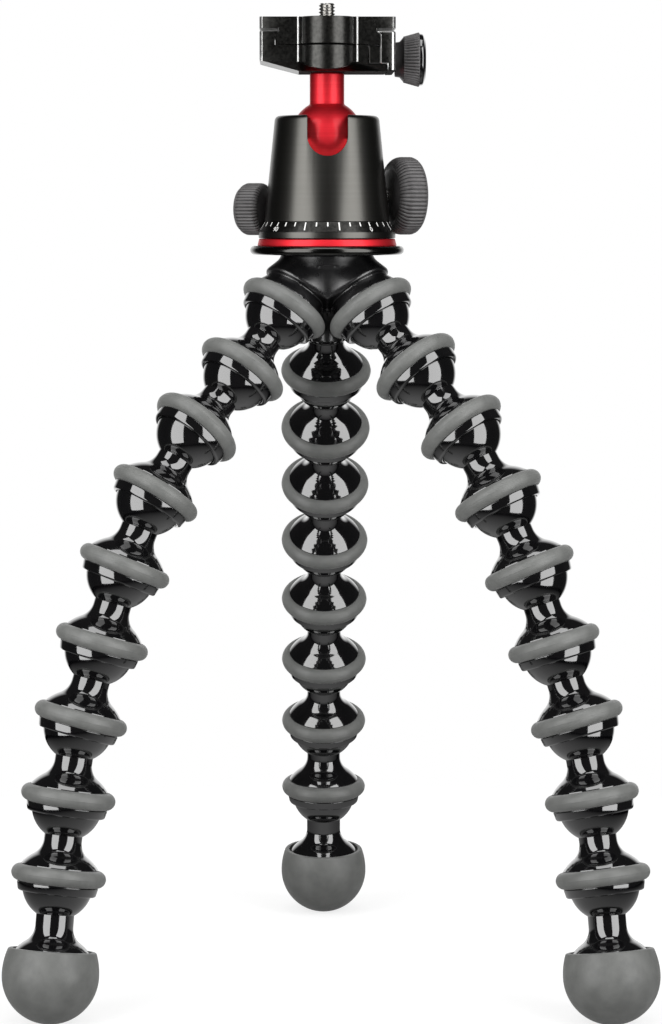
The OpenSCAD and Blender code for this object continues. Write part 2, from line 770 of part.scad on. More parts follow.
module clamp_body() {
    ledge_top = clamp_low + ledge_h;
    top = plate_low - slide_gap;
    color("#262626") difference() {
        union() {
            difference() {
                along_clamp(clamp_half_l) polygon([[-flat_half_w, clamp_low], [ledge_half_w, clamp_low],
                    [ledge_half_w, ledge_top], [recess_x, ledge_top], [recess_x, top], [-jaw_face, top],
                    [-jaw_face, lip_low], [-jaw_face + dovetail_lip, jaw_top], [-clamp_half_w, jaw_top],
                    [-clamp_half_w, clamp_low + jaw_slope_h]]);
                lower_edge(-1);
                lower_edge(1);
            }
            lower_bosses(top);
        }
        at_clamp_screw() translate([0, 0, recess_x - clamp_screw_depth])
            cylinder(r = clamp_screw_r + run_fit, h = 2 * clamp_half_w);
        for (side = [-1, 1]) at_clamp_screw(side * pin_y) translate([0, 0, recess_x - pin_depth])
            cylinder(r = pin_r + fixed_fit, h = 2 * pin_depth);
        at_head() translate([0, 0, clamp_low - clamp_h])
            cylinder(r = platform_screw_r + fixed_fit, h = 3 * clamp_h);
        at_head() translate([0, 0, top - platform_head_h])
            cylinder(r = platform_head_r + fixed_fit, h = clamp_h);
    }
}

module platform_screw() {
    top = plate_low - slide_gap;
    color("silver") at_head() {
        translate([0, 0, top - platform_head_h]) cylinder(r = platform_head_r, h = platform_head_h);
        translate([0, 0, clamp_low - platform_screw_depth])
            cylinder(r = platform_screw_r, h = top - platform_head_h - clamp_low + platform_screw_depth);
    }
}

module guide_pins() {
    start = recess_x - pin_depth;
    color("silver") for (side = [-1, 1]) at_clamp_screw(side * pin_y)
        translate([0, 0, start]) cylinder(r = pin_r, h = clamp_half_w - slide_gap - start);
}

module clamp_jaw() {
    jaw_low = clamp_low + ledge_h + slide_gap;
    jaw_foot = ledge_half_w + slide_gap;
    color("#262626") difference() {
        union() {
            along_clamp(clamp_half_l) polygon([[jaw_face, jaw_low], [jaw_foot, jaw_low],
                [jaw_foot, clamp_low], [clamp_half_w, clamp_low], [clamp_half_w, jaw_top],
                [jaw_face - dovetail_lip, jaw_top], [jaw_face, lip_low]]);
            along_clamp(tongue_half_l) translate([jaw_face - tongue_l, jaw_low])
                square([tongue_l + slide_gap, tongue_h]);
        }
        at_clamp_screw() cylinder(r = clamp_screw_r + run_fit, h = 2 * clamp_half_w);
        for (side = [-1, 1]) at_clamp_screw(side * pin_y)
            cylinder(r = pin_r + run_fit, h = 2 * clamp_half_w);
    }
}

module clamp_knob() {
    rim_end = clamp_taper_h + clamp_rim_h;
    crown_r = cap_r + rib_depth;
    color("#3a3838") at_clamp_screw() translate([0, 0, clamp_knob_start]) difference() {
        ribbed_knob(clamp_knob_r, clamp_knob_neck_r, clamp_taper_h, clamp_rim_h, cap_h, crown_r, clamp_ribs);
        translate([0, 0, -rim_end]) cylinder(r = clamp_screw_r + fixed_fit, h = 2 * rim_end);
        translate([0, 0, rim_end]) cylinder(r = cap_r + fixed_fit, h = 2 * cap_h);
    }
}

module clamp_knob_cap() {
    start = clamp_knob_start + clamp_taper_h + clamp_rim_h;
    color("#161616") at_clamp_screw() translate([0, 0, start]) {
        cylinder(r = cap_r, h = cap_h);
        translate([0, 0, cap_h]) cylinder(r1 = cap_r, r2 = cap_flat_r, h = cap_bevel_h);
    }
}

module clamp_screw() {
    start = recess_x - clamp_screw_depth;
    color("silver") at_clamp_screw() translate([0, 0, start])
        cylinder(r = clamp_screw_r, h = clamp_knob_start + clamp_taper_h + clamp_rim_h - start);
}

module plate_outline() {
    neck = dovetail_half_w - dovetail_lip;
    flange_low = plate_top - flange_h;
    right = [[dovetail_half_w, plate_low], [dovetail_half_w, lip_low], [neck, jaw_top],
        [neck, flange_low], [clamp_half_w, flange_low], [clamp_half_w, plate_top]];
    left = [for (i = [len(right) - 1 : -1 : 0]) [-right[i][0], right[i][1]]];
    polygon(concat(right, left));
}

module quick_release_plate() {
    color("#262626") difference() {
        union() {
            along_clamp(clamp_half_l) plate_outline();
            round_bosses(plate_low, plate_top);
        }
        at_head() {
            cylinder(r = screw_neck_r + run_fit, h = 2 * plate_top);
            translate([0, 0, plate_low - plate_h])
                cylinder(r = screw_head_r + slide_gap, h = plate_h + 2 * slide_gap + screw_head_h);
            translate([-pad_half_w, -pad_half_l, plate_top + pad_proud - pad_h])
                cube([2 * pad_half_w, 2 * pad_half_l, 2 * pad_h]);
        }
    }
}

module plate_pad() {
    color("#1a1a1a") at_head() translate([0, 0, plate_top + pad_proud - pad_h]) difference() {
        translate([-pad_half_w + grip_fit, -pad_half_l + grip_fit, 0])
            cube([2 * pad_half_w - 2 * grip_fit, 2 * pad_half_l - 2 * grip_fit, pad_h]);
        translate([0, 0, -pad_h]) cylinder(r = pad_hole_r, h = 3 * pad_h);
    }
}

module camera_screw() {
    head_low = plate_low + slide_gap;
    pad_top = plate_top + pad_proud;
    color("silver") at_head() difference() {
        union() {
            translate([0, 0, head_low]) cylinder(r = screw_head_r, h = screw_head_h);
            translate([0, 0, head_low]) cylinder(r = screw_neck_r, h = pad_top - head_low);
            translate([0, 0, pad_top]) cylinder(r = screw_r, h = screw_reach);
        }
        translate([-screw_head_r, -slot_w / 2, head_low - slot_depth])
            cube([2 * screw_head_r, slot_w, 2 * slot_depth]);
    }
}

hub();
hub_grip_rings();
head_stud();
pan_base();
trim_ring();
bearing_washer();
brake_drum();
head_housing();
scale_ring();
closing_plug();
ball_seat();
main_lock_knob();
main_lock_screw();
lock_plunger();
pan_lock_knob();
pan_lock_screw();
pan_brake_shoe();
ball_and_stem();
clamp_body();
platform_screw();
guide_pins();
clamp_jaw();
clamp_knob();
clamp_knob_cap();
clamp_screw();
quick_release_plate();
plate_pad();
camera_screw();
for (leg = [0 : 2]) {
    for (k = [1 : LINKS]) leg_link(leg, k);
    foot_stem(leg);
    rubber_foot(leg);
}
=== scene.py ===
# %% [markdown]
# This lesson dresses a jointed camera tripod: three bendable legs, a ball head, a clamp and a plate.
# The solids already exist at their real size, so the first cell only loads them as a fixed frame.
# Every new piece is modelled in metres in that same frame, and rides on the body that carries it.

# %% Load the frame
import json
import math
import bpy
import bmesh
import numpy as np
from mathutils import Matrix, Vector

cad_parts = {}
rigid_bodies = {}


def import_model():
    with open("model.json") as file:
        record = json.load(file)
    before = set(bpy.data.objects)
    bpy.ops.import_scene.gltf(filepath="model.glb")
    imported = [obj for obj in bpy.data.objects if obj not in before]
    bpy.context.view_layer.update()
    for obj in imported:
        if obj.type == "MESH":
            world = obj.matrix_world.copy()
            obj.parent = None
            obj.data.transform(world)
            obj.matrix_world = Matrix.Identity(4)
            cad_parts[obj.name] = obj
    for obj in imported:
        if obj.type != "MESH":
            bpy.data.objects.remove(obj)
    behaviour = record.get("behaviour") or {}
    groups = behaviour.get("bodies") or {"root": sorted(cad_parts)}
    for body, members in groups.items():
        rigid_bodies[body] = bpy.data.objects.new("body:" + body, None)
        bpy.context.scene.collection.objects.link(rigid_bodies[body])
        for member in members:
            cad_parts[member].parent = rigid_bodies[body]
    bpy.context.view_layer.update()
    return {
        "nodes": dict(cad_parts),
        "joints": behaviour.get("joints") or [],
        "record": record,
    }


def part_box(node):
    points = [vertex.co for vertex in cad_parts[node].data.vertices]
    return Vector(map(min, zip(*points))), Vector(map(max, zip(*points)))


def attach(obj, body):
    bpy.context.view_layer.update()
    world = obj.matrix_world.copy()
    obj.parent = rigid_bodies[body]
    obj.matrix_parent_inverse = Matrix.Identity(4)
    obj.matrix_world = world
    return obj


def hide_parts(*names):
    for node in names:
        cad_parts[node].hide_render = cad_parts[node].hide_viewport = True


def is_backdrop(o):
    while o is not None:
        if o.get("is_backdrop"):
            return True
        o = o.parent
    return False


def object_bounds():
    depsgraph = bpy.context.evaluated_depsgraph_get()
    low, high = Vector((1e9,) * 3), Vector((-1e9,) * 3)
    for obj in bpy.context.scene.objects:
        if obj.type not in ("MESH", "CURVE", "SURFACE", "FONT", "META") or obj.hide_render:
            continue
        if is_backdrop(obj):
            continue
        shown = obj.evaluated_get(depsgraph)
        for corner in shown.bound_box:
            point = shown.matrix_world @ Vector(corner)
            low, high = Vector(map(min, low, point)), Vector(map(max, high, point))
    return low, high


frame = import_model()
MM = 0.001
JOINTS = {joint["name"]: joint for joint in frame["joints"]}
MOUNTS = {mount["name"]: mount for mount in frame["record"]["mounts"]}
scene = bpy.context.scene
scene.view_settings.view_transform = "Standard"

# %% [markdown]
# The photograph was taken with a long lens from a little above the plate, looking slightly down.
# Matching it by eye is slow, so the focal length, height and pitch come from a fit to the grip rings
# and feet. A small turn of the camera replaces a lens shift, so that other views stay undisturbed.

# %% Camera
FRAME_HEIGHT_PX = 1024
FOCAL_PX = 3201
AXIS_LEFT_OF_CENTRE_PX = 3.96
SENSOR = 36.0
CAMERA_DISTANCE = 1254.1 * MM
CAMERA_HEIGHT = 308.0 * MM
CAMERA_PITCH = math.radians(5.48)
CAMERA_ROUND = math.radians(0.70)

lens = bpy.data.cameras.new("view")
lens.sensor_width = SENSOR
lens.lens = FOCAL_PX / FRAME_HEIGHT_PX * SENSOR
camera = bpy.data.objects.new("view", lens)
camera.location = (-CAMERA_DISTANCE * math.sin(CAMERA_ROUND),
                   -CAMERA_DISTANCE * math.cos(CAMERA_ROUND), CAMERA_HEIGHT)
heading = -CAMERA_ROUND - math.atan(AXIS_LEFT_OF_CENTRE_PX / FOCAL_PX)
camera.rotation_euler = (math.pi / 2 - CAMERA_PITCH, 0, heading)
scene.collection.objects.link(camera)
scene.camera = camera
print("lens", round(lens.lens, 1), "mm")

# %% [markdown]
# Glossy black plastic shows little but what it mirrors, so the room matters as much as the material.
# The photograph mirrors two tall softboxes left and right of the camera, a white wall far behind, dark
# sides and a white table whose edge is close by. Lamps, a world with a white rear wall for mirror rays
# and a small round table give those same reflections at a plain light level.

# %% Softboxes
SOFTBOX_SIZE = (0.95, 2.3)
SOFTBOX_DISTANCE = 1.25
SOFTBOX_ROUND = math.radians(46)
SOFTBOX_MIDDLE = 0.80
SOFTBOX_POWER = 24.0
TOP_SIZE = 0.9
TOP_HEIGHT = 1.7
TOP_FORWARD = 0.25
TOP_POWER = 7.0


def softbox(name, place, size, power, aim):
    lamp = bpy.data.lights.new(name, "AREA")
    lamp.shape = "RECTANGLE"
    lamp.size, lamp.size_y = size
    lamp.energy = power
    holder = bpy.data.objects.new(name, lamp)
    holder.location = place
    holder.rotation_euler = (Vector(aim) - Vector(place)).to_track_quat("-Z", "Y").to_euler()
    holder.visible_camera = False
    scene.collection.objects.link(holder)
    return holder


for name, side in (("left_softbox", -1), ("right_softbox", 1)):
    spot = (side * SOFTBOX_DISTANCE * math.sin(SOFTBOX_ROUND),
            -SOFTBOX_DISTANCE * math.cos(SOFTBOX_ROUND), SOFTBOX_MIDDLE)
    softbox(name, spot, SOFTBOX_SIZE, SOFTBOX_POWER, (0, 0, SOFTBOX_MIDDLE))
softbox("top_softbox", (0, -TOP_FORWARD, TOP_HEIGHT), (TOP_SIZE, TOP_SIZE), TOP_POWER, (0, 0, 0))

# %% World
WORLD_FILL = 0.30
DARK_ROOM = 0.02
REAR_WALL_FROM, REAR_WALL_TO = 0.74, 0.90


def link(tree, source, target):
    tree.links.new(source, target)


def maths(tree, operation, first, second):
    node = tree.nodes.new("ShaderNodeMath")
    node.operation = operation
    for socket, value in zip(node.inputs, (first, second)):
        if isinstance(value, (int, float)):
            socket.default_value = value
        else:
            link(tree, value, socket)
    return node.outputs[0]


def map_range(tree, field, from_low, from_high, to_low, to_high):
    node = tree.nodes.new("ShaderNodeMapRange")
    ends = {"From Min": from_low, "From Max": from_high, "To Min": to_low, "To Max": to_high}
    for name, value in ends.items():
        node.inputs[name].default_value = value
    link(tree, field, node.inputs["Value"])
    return node.outputs["Result"]


world = bpy.data.worlds.new("studio")
world.use_nodes = True
scene.world = world
room = world.node_tree
rays = room.nodes.new("ShaderNodeLightPath")
direction = room.nodes.new("ShaderNodeTexCoord")
split = room.nodes.new("ShaderNodeSeparateXYZ")
link(room, direction.outputs["Generated"], split.inputs["Vector"])
rear_wall = map_range(room, split.outputs["Y"], REAR_WALL_FROM, REAR_WALL_TO, DARK_ROOM, 1.0)
seen = maths(room, "MAXIMUM", rays.outputs["Is Camera Ray"], rays.outputs["Is Transmission Ray"])
mirrored = maths(room, "MULTIPLY", rays.outputs["Is Glossy Ray"], rear_wall)
lit = maths(room, "MULTIPLY", rays.outputs["Is Diffuse Ray"], WORLD_FILL)
strength = maths(room, "ADD", maths(room, "ADD", seen, mirrored), lit)
room.nodes["Background"].inputs["Color"].default_value = (1, 1, 1, 1)
link(room, strength, room.nodes["Background"].inputs["Strength"])
print("world", world.name)

# %% [markdown]
# Each finish is a small node tree. A noise field in the piece's own coordinates drives colour, roughness
# or bump, so nothing depends on an unwrapped mesh. Values that are the same all over are typed straight
# into the shader, because an exporter can only read those.

# %% Finish helpers


def finish(name):
    material = bpy.data.materials.new(name)
    material.use_nodes = True
    tree = material.node_tree
    return material, tree, tree.nodes["Principled BSDF"]


def noise(tree, per_metre, detail=3.0, stretch=(1, 1, 1)):
    place = tree.nodes.new("ShaderNodeTexCoord")
    squeeze = tree.nodes.new("ShaderNodeMapping")
    squeeze.inputs["Scale"].default_value = stretch
    field = tree.nodes.new("ShaderNodeTexNoise")
    field.inputs["Scale"].default_value = per_metre
    field.inputs["Detail"].default_value = detail
    link(tree, place.outputs["Object"], squeeze.inputs["Vector"])
    link(tree, squeeze.outputs["Vector"], field.inputs["Vector"])
    return field.outputs["Fac"]


def colours(tree, shader, field, dark, light, low=0.35, high=0.65):
    ramp = tree.nodes.new("ShaderNodeValToRGB")
    first, last = ramp.color_ramp.elements
    first.position, last.position = low, high
    first.color, last.color = (*dark, 1), (*light, 1)
    link(tree, field, ramp.inputs["Fac"])
    link(tree, ramp.outputs["Color"], shader.inputs["Base Color"])


def roughness(tree, shader, field, smooth, rough):
    link(tree, map_range(tree, field, 0.3, 0.7, smooth, rough), shader.inputs["Roughness"])


def bump(tree, shader, field, height):
    node = tree.nodes.new("ShaderNodeBump")
    node.inputs["Distance"].default_value = height
    link(tree, field, node.inputs["Height"])
    link(tree, node.outputs["Normal"], shader.inputs["Normal"])


# %% Black plastics


def black_plastic(name, smooth, rough, coat):
    material, tree, shader = finish(name)
    colours(tree, shader, noise(tree, 90), (0.0024, 0.0024, 0.0028), (0.0042, 0.0040, 0.0044))
    roughness(tree, shader, noise(tree, 260, 5), smooth, rough)
    bump(tree, shader, noise(tree, 420, 2), 0.006 * MM)
    shader.inputs["IOR"].default_value = 1.9
    shader.inputs["Coat Weight"].default_value = coat
    shader.inputs["Coat Roughness"].default_value = 0.03
    return material


GLOSS_BLACK = black_plastic("gloss_black_plastic", 0.05, 0.11, 1.0)
SATIN_BLACK = black_plastic("satin_black_plastic", 0.26, 0.32, 0.0)
print("made", GLOSS_BLACK.name, SATIN_BLACK.name)

# %% Grip rubber


def grip_rubber():
    material, tree, shader = finish("grip_rubber")
    colours(tree, shader, noise(tree, 140, 6), (0.113, 0.116, 0.111), (0.149, 0.152, 0.146))
    roughness(tree, shader, noise(tree, 700, 4), 0.40, 0.52)
    bump(tree, shader, noise(tree, 2600, 3), 0.03 * MM)
    shader.inputs["Specular IOR Level"].default_value = 0.5
    shader.inputs["Sheen Weight"].default_value = 0.12
    shader.inputs["Sheen Roughness"].default_value = 0.5
    return material


GRIP_RUBBER = grip_rubber()
print("made", GRIP_RUBBER.name)

# %% [markdown]
# The metal parts are turned or blasted aluminium with a dyed oxide skin. The dye tints the mirror image,
# and the clear skin adds a weak white one on top, so a metal shader with a thin coat fits. Turning marks
# are noise squeezed to run round the axis. Blasted faces have an even, fine grain.

# %% Anodised metals


def anodised(name, dark, light, smooth, rough, grain, depth, stretch=(1, 1, 1), coat=0.3):
    material, tree, shader = finish(name)
    colours(tree, shader, noise(tree, grain / 4, 4, stretch), dark, light)
    roughness(tree, shader, noise(tree, grain / 2, 4, stretch), smooth, rough)
    bump(tree, shader, noise(tree, grain, 2, stretch), depth)
    shader.inputs["Metallic"].default_value = 1.0
    shader.inputs["Coat Weight"].default_value = coat
    shader.inputs["Coat Roughness"].default_value = 0.18
    return material


TURNED = (0.02, 0.02, 1)
RED_ANODISED = anodised("red_anodised", (0.78, 0.030, 0.044), (0.84, 0.036, 0.052), 0.54, 0.57, 5200,
                        0.0003 * MM, TURNED, 0.25)
GUNMETAL = anodised("gunmetal_anodised", (0.092, 0.090, 0.083), (0.097, 0.095, 0.088), 0.300, 0.308, 5200,
                    0.0001 * MM, TURNED, 0.1)
DARK_ANODISED = anodised("dark_anodised", (0.046, 0.045, 0.042), (0.056, 0.055, 0.052), 0.14, 0.18, 5200,
                         0.0004 * MM, TURNED, 0.3)
BLACK_ANODISED = anodised("black_anodised", (0.030, 0.030, 0.028), (0.054, 0.053, 0.050), 0.27, 0.36, 3000,
                          0.012 * MM)
# Painted highlight: bright metal laid on the broken edges, corners, beads and side slots of the clamp, jaw
# and plate.
EDGE_HIGHLIGHT = anodised("painted_edge_highlight", (0.62, 0.62, 0.61), (0.76, 0.76, 0.75), 0.26, 0.40, 3000, 0.004 * MM,
                     coat=0)
STEEL = anodised("machined_steel", (0.46, 0.45, 0.43), (0.60, 0.59, 0.57), 0.20, 0.32, 3600, 0.004 * MM,
                 coat=0)
BRASS = anodised("turned_brass", (0.62, 0.42, 0.14), (0.74, 0.52, 0.20), 0.22, 0.34, 3600, 0.004 * MM,
                 coat=0)
print("made", [metal.name for metal in (RED_ANODISED, GUNMETAL, DARK_ANODISED, BLACK_ANODISED, EDGE_HIGHLIGHT,
                                        STEEL, BRASS)])

# %% [markdown]
# The remaining finishes are soft or painted: the ribbed knob grips, the pad on the plate, the filled
# marks of the pan scale and the pale acetal inside the head, and two near-black finishes that are painted
# shade, on the floors of the knob grooves and under the clamp. They share one recipe with other numbers.

# %% Plastics, pad and paint


def moulded(name, dark, light, smooth, rough, grain, depth):
    material, tree, shader = finish(name)
    colours(tree, shader, noise(tree, grain / 6, 4), dark, light)
    roughness(tree, shader, noise(tree, grain / 3, 3), smooth, rough)
    bump(tree, shader, noise(tree, grain, 3), depth)
    return material


KNOB_GRIP = moulded("knob_grip", (0.082, 0.078, 0.079), (0.104, 0.100, 0.101), 0.40, 0.52, 2400, 0.02 * MM)
# Painted shade: the near-black finish laid on the floors of the knob grooves.
KNOB_SHADE = moulded("knob_groove_painted_shade", (0.012, 0.012, 0.012), (0.020, 0.019, 0.019), 0.36, 0.5, 2400, 0.015 * MM)
KNOB_BACK = moulded("knob_back", (0.030, 0.028, 0.029), (0.042, 0.040, 0.041), 0.34, 0.44, 2400, 0.01 * MM)
# Painted shade: a dead matt black with little mirror, for the downward faces at the bottom of the clamp and
# jaw.
UNDERSIDE_SHADE = moulded("underside_painted_shade", (0.010, 0.010, 0.010), (0.016, 0.016, 0.015), 0.85, 0.95, 2400, 0.01 * MM)
UNDERSIDE_SHADE.node_tree.nodes["Principled BSDF"].inputs["Specular IOR Level"].default_value = 0.1
PAD_RUBBER = moulded("pad_rubber", (0.014, 0.014, 0.014), (0.024, 0.024, 0.024), 0.55, 0.7, 2600, 0.03 * MM)
MARK_PAINT = moulded("mark_paint", (0.78, 0.78, 0.76), (0.86, 0.86, 0.84), 0.45, 0.6, 2600, 0.01 * MM)
ACETAL = moulded("acetal", (0.74, 0.73, 0.69), (0.82, 0.81, 0.77), 0.4, 0.5, 1800, 0.01 * MM)
print("made", [soft.name for soft in (KNOB_GRIP, KNOB_SHADE, KNOB_BACK, UNDERSIDE_SHADE, PAD_RUBBER, MARK_PAINT,
                                      ACETAL)])

# %% [markdown]
# The table is a pale disc. It ends close to the feet, because the photograph's softboxes reach below it.
# To the camera it glows up to white and still keeps the shadows of the feet, which are faint. To mirror
# rays it glows less and fades towards its edge, as a sheet does that only the near lamps reach.

# %% Table
TABLE_RADIUS = 0.43
TABLE_DROP = 0.05 * MM
TABLE_TINT = (0.30, 0.30, 0.30, 1)
TABLE_SEEN, TABLE_MIRRORED = 0.78, 0.42
FADE_FROM, FADE_TO = 0.05, 0.36


def table_finish():
    material = bpy.data.materials.new("table_white")
    material.use_nodes = True
    tree = material.node_tree
    tree.nodes.remove(tree.nodes["Principled BSDF"])
    cloth = tree.nodes.new("ShaderNodeBsdfDiffuse")
    cloth.inputs["Color"].default_value = TABLE_TINT
    glow = tree.nodes.new("ShaderNodeEmission")
    path = tree.nodes.new("ShaderNodeLightPath")
    seen_share = maths(tree, "MULTIPLY", path.outputs["Is Camera Ray"], TABLE_SEEN)
    spot = tree.nodes.new("ShaderNodeTexCoord")
    reach = tree.nodes.new("ShaderNodeVectorMath")
    reach.operation = "LENGTH"
    link(tree, spot.outputs["Object"], reach.inputs[0])
    fade = map_range(tree, reach.outputs["Value"], FADE_FROM, FADE_TO, TABLE_MIRRORED, 0.0)
    link(tree, seen_share, glow.inputs["Strength"])
    both = tree.nodes.new("ShaderNodeAddShader")
    link(tree, cloth.outputs[0], both.inputs[0])
    link(tree, glow.outputs[0], both.inputs[1])
    image = tree.nodes.new("ShaderNodeEmission")
    link(tree, fade, image.inputs["Strength"])
    choice = tree.nodes.new("ShaderNodeMixShader")
    link(tree, path.outputs["Is Glossy Ray"], choice.inputs["Fac"])
    link(tree, both.outputs[0], choice.inputs[1])
    link(tree, image.outputs[0], choice.inputs[2])
    link(tree, choice.outputs[0], tree.nodes["Material Output"].inputs["Surface"])
    return material


disc = bmesh.new()
bmesh.ops.create_circle(disc, cap_ends=True, segments=96, radius=TABLE_RADIUS)
bmesh.ops.translate(disc, verts=disc.verts, vec=(0, 0, -TABLE_DROP))
table_mesh = bpy.data.meshes.new("table")
disc.to_mesh(table_mesh)
disc.free()
table = bpy.data.objects.new("table", table_mesh)
table.data.materials.append(table_finish())
scene.collection.objects.link(table)
table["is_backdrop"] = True
print("table radius", TABLE_RADIUS)

# %% [markdown]
# Most pieces of a tripod are turned shapes, so one lathe helper makes them: it spins an outline of
# (radius, height) points about Z. Blender's Screw modifier could do the same, but a direct mesh keeps
# clean poles and shares its data between the many equal links. Round corners are true arcs.

# %% Lathe helpers
SHARP = math.radians(32)


def arc(centre_r, centre_z, radius, start, end, steps=10):
    angles = [math.radians(start + (end - start) * i / steps) for i in range(steps + 1)]
    return [(centre_r + radius * math.cos(a), centre_z + radius * math.sin(a)) for a in angles]


def rounded(corners, steps=5):
    """Outline through (x, y, corner radius) points; the corners become arcs."""
    points = []
    for i, (x, y, radius) in enumerate(corners):
        here = Vector((x, y))
        back = Vector(corners[i - 1][:2]) - here
        ahead = Vector(corners[(i + 1) % len(corners)][:2]) - here
        if radius <= 0 or back.length < 1e-9 or ahead.length < 1e-9:
            points.append((x, y))
            continue
        back.normalize()
        ahead.normalize()
        half = back.angle(ahead) / 2
        reach = radius / math.tan(half)
        centre = here + (back + ahead).normalized() * radius / math.sin(half)
        first, last = here + back * reach - centre, here + ahead * reach - centre
        turn = first.angle_signed(last)
        for k in range(steps + 1):
            spoke = first.copy()
            spoke.rotate(Matrix.Rotation(-turn * k / steps, 2))
            points.append(tuple(centre + spoke))
    return points


def mesh_piece(name, verts, faces, materials, face_slots=None, sharp=SHARP):
    mesh = bpy.data.meshes.new(name)
    mesh.from_pydata([tuple(v) for v in verts], [], faces)
    for material in materials:
        mesh.materials.append(material)
    if face_slots is not None:
        mesh.polygons.foreach_set("material_index", face_slots)
    shell = bmesh.new()
    shell.from_mesh(mesh)
    bmesh.ops.recalc_face_normals(shell, faces=shell.faces)
    shell.to_mesh(mesh)
    shell.free()
    mesh.shade_smooth()
    mesh.set_sharp_from_angle(angle=sharp)
    piece = bpy.data.objects.new(name, mesh)
    scene.collection.objects.link(piece)
    return piece


def band(low, high, turns):
    """Faces between two rows of vertices; a row of one vertex is a pole."""
    faces = []
    for i in range(turns):
        j = (i + 1) % turns
        quad = [low[i % len(low)], low[j % len(low)], high[j % len(high)], high[i % len(high)]]
        face = list(dict.fromkeys(quad))
        if len(face) > 2:
            faces.append(face)
    return faces


def lathe(name, outline, material, closed=False, turns=96):
    verts, rows, faces = [], [], []
    for radius, height in outline:
        count = 1 if radius < 1e-7 else turns
        rows.append(range(len(verts), len(verts) + count))
        for i in range(count):
            angle = 2 * math.pi * i / turns
            verts.append((radius * math.cos(angle), radius * math.sin(angle), height))
    pairs = list(zip(rows, rows[1:])) + ([(rows[-1], rows[0])] if closed else [])
    for low, high in pairs:
        faces += band(low, high, turns)
    return mesh_piece(name, verts, faces, [material])


def place(piece, origin, axis):
    """Sets a piece whose own +Z should point along axis."""
    turn = Vector(axis).to_track_quat("Z", "Y").to_matrix().to_4x4()
    piece.matrix_world = Matrix.Translation(origin) @ turn
    return piece


def dress(piece, body, slot, *nodes):
    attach(piece, body)
    if nodes:
        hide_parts(*nodes)
    return piece


def copy_of(name, template):
    piece = bpy.data.objects.new(name, template.data)
    scene.collection.objects.link(piece)
    return piece


print("lathe ready")

# %% [markdown]
# A leg is a chain of equal links. Each is one glossy moulding: a ball, a short neck, a domed shoulder and
# a socket with a thin collar. Its outline is drawn once from the ball's centre downwards, and one shared
# mesh then stands at every joint. Separate meshes would look the same and cost far more memory.

# %% Link moulding
PITCH = 30.1 * MM
BALL_R = 13.4 * MM
NECK_R = 7.2 * MM
NECK_FILLET = 7.0 * MM
DOME_R = 18.6 * MM
DOME_BELOW_SOCKET = 4.5 * MM
SOCKET_R = 13.55 * MM
SEAT_R = 14.7 * MM
COLLAR_R = 15.5 * MM
MOUTH_R = 14.75 * MM
MOUTH_DROP = 3.4 * MM
RING_R = 18.0 * MM
RING_TUBE_R = 3.2 * MM
RING_RISE = 3.4 * MM
GRIP_GAP = 0.05 * MM
RING_LOW = RING_RISE - RING_TUBE_R - GRIP_GAP


def ball_to_dome(dome_z, end_r):
    """Outline from the top of a ball over neck and hollow to where the dome is end_r wide."""
    neck_angle = math.degrees(math.acos(NECK_R / BALL_R))
    hollow_r = NECK_R + NECK_FILLET
    rise = math.sqrt((DOME_R + NECK_FILLET) ** 2 - hollow_r ** 2)
    touch = math.degrees(math.atan2(rise, hollow_r))
    return (arc(0, 0, BALL_R, 90, -neck_angle, 30)
            + arc(hollow_r, dome_z + rise, NECK_FILLET, 180, 180 + touch, 12)
            + arc(0, dome_z, DOME_R, touch, math.degrees(math.acos(end_r / DOME_R)), 14)[1:])


def plain(points):
    return [(r, z, 0) for r, z in points]


def socket_mouth(centre_z, end_angle=90):
    """Outline from the ring seat round the collar's lip and up the inside of a socket."""
    mouth_angle = math.degrees(math.asin(MOUTH_DROP / SOCKET_R))
    inside = arc(0, centre_z, SOCKET_R, -mouth_angle, end_angle, 24)
    return [(SEAT_R, centre_z + RING_LOW, 0), (COLLAR_R, centre_z + RING_LOW, 0.3 * MM),
            (MOUTH_R, centre_z - MOUTH_DROP, 1.0 * MM), (*inside[0], 0.4 * MM)] + plain(inside[1:])


link_outline = rounded(plain(ball_to_dome(-PITCH - DOME_BELOW_SOCKET, SEAT_R)) + socket_mouth(-PITCH))
link_moulding = lathe("link_moulding", link_outline, GLOSS_BLACK)
print("link outline", len(link_outline), "points")

# %% [markdown]
# The grip ring is a separate grey rubber moulding pressed round the socket. Seen in section it is half a
# circle with a fine parting line at its widest place, so its outline is an arc with one small step.

# %% Grip ring
PARTING_LINE = 0.05 * MM
RING_MID_R = RING_R - RING_TUBE_R
ring_outline = (arc(RING_MID_R, 0, RING_TUBE_R, -90, -3, 14)
                + [(RING_R + PARTING_LINE, 0)]
                + arc(RING_MID_R, 0, RING_TUBE_R, 3, 90, 14)
                + [(SEAT_R + GRIP_GAP, RING_TUBE_R), (SEAT_R + GRIP_GAP, -RING_TUBE_R)])
grip_ring = lathe("grip_ring", ring_outline, GRIP_RUBBER, closed=True)
print("ring outline", len(ring_outline), "points")

# %% Chain of links
SIDES = ("left", "right", "rear")
LINKS = 8


def joint_place(name):
    return Vector(JOINTS[name]["pos_m"])


def ball_centre(side, number):
    return joint_place(f"{side}_leg_joint_{number}")


for side in SIDES:
    for number in range(1, LINKS + 1):
        top, low = ball_centre(side, number), ball_centre(side, number + 1)
        up = (top - low).normalized()
        node = f"{side}_leg_link_{number}"
        moulding = copy_of(f"{side}_link_{number}_moulding", link_moulding)
        dress(place(moulding, top, up), node, "gloss_black", node)
        ring = copy_of(f"{side}_link_{number}_ring", grip_ring)
        dress(place(ring, low + up * RING_RISE, up), node, "grip_rubber", node)
bpy.data.objects.remove(link_moulding)
print("links", len(SIDES) * LINKS)

# %% [markdown]
# Each leg ends in a foot: a last ball and dome whose core sits in a rubber boot. The boot is thick, nearly
# spherical and slightly flattened where it stands. The flat depends on the lean of the leg, so each boot
# gets its own mesh, with whatever would lie below the table pressed flat.

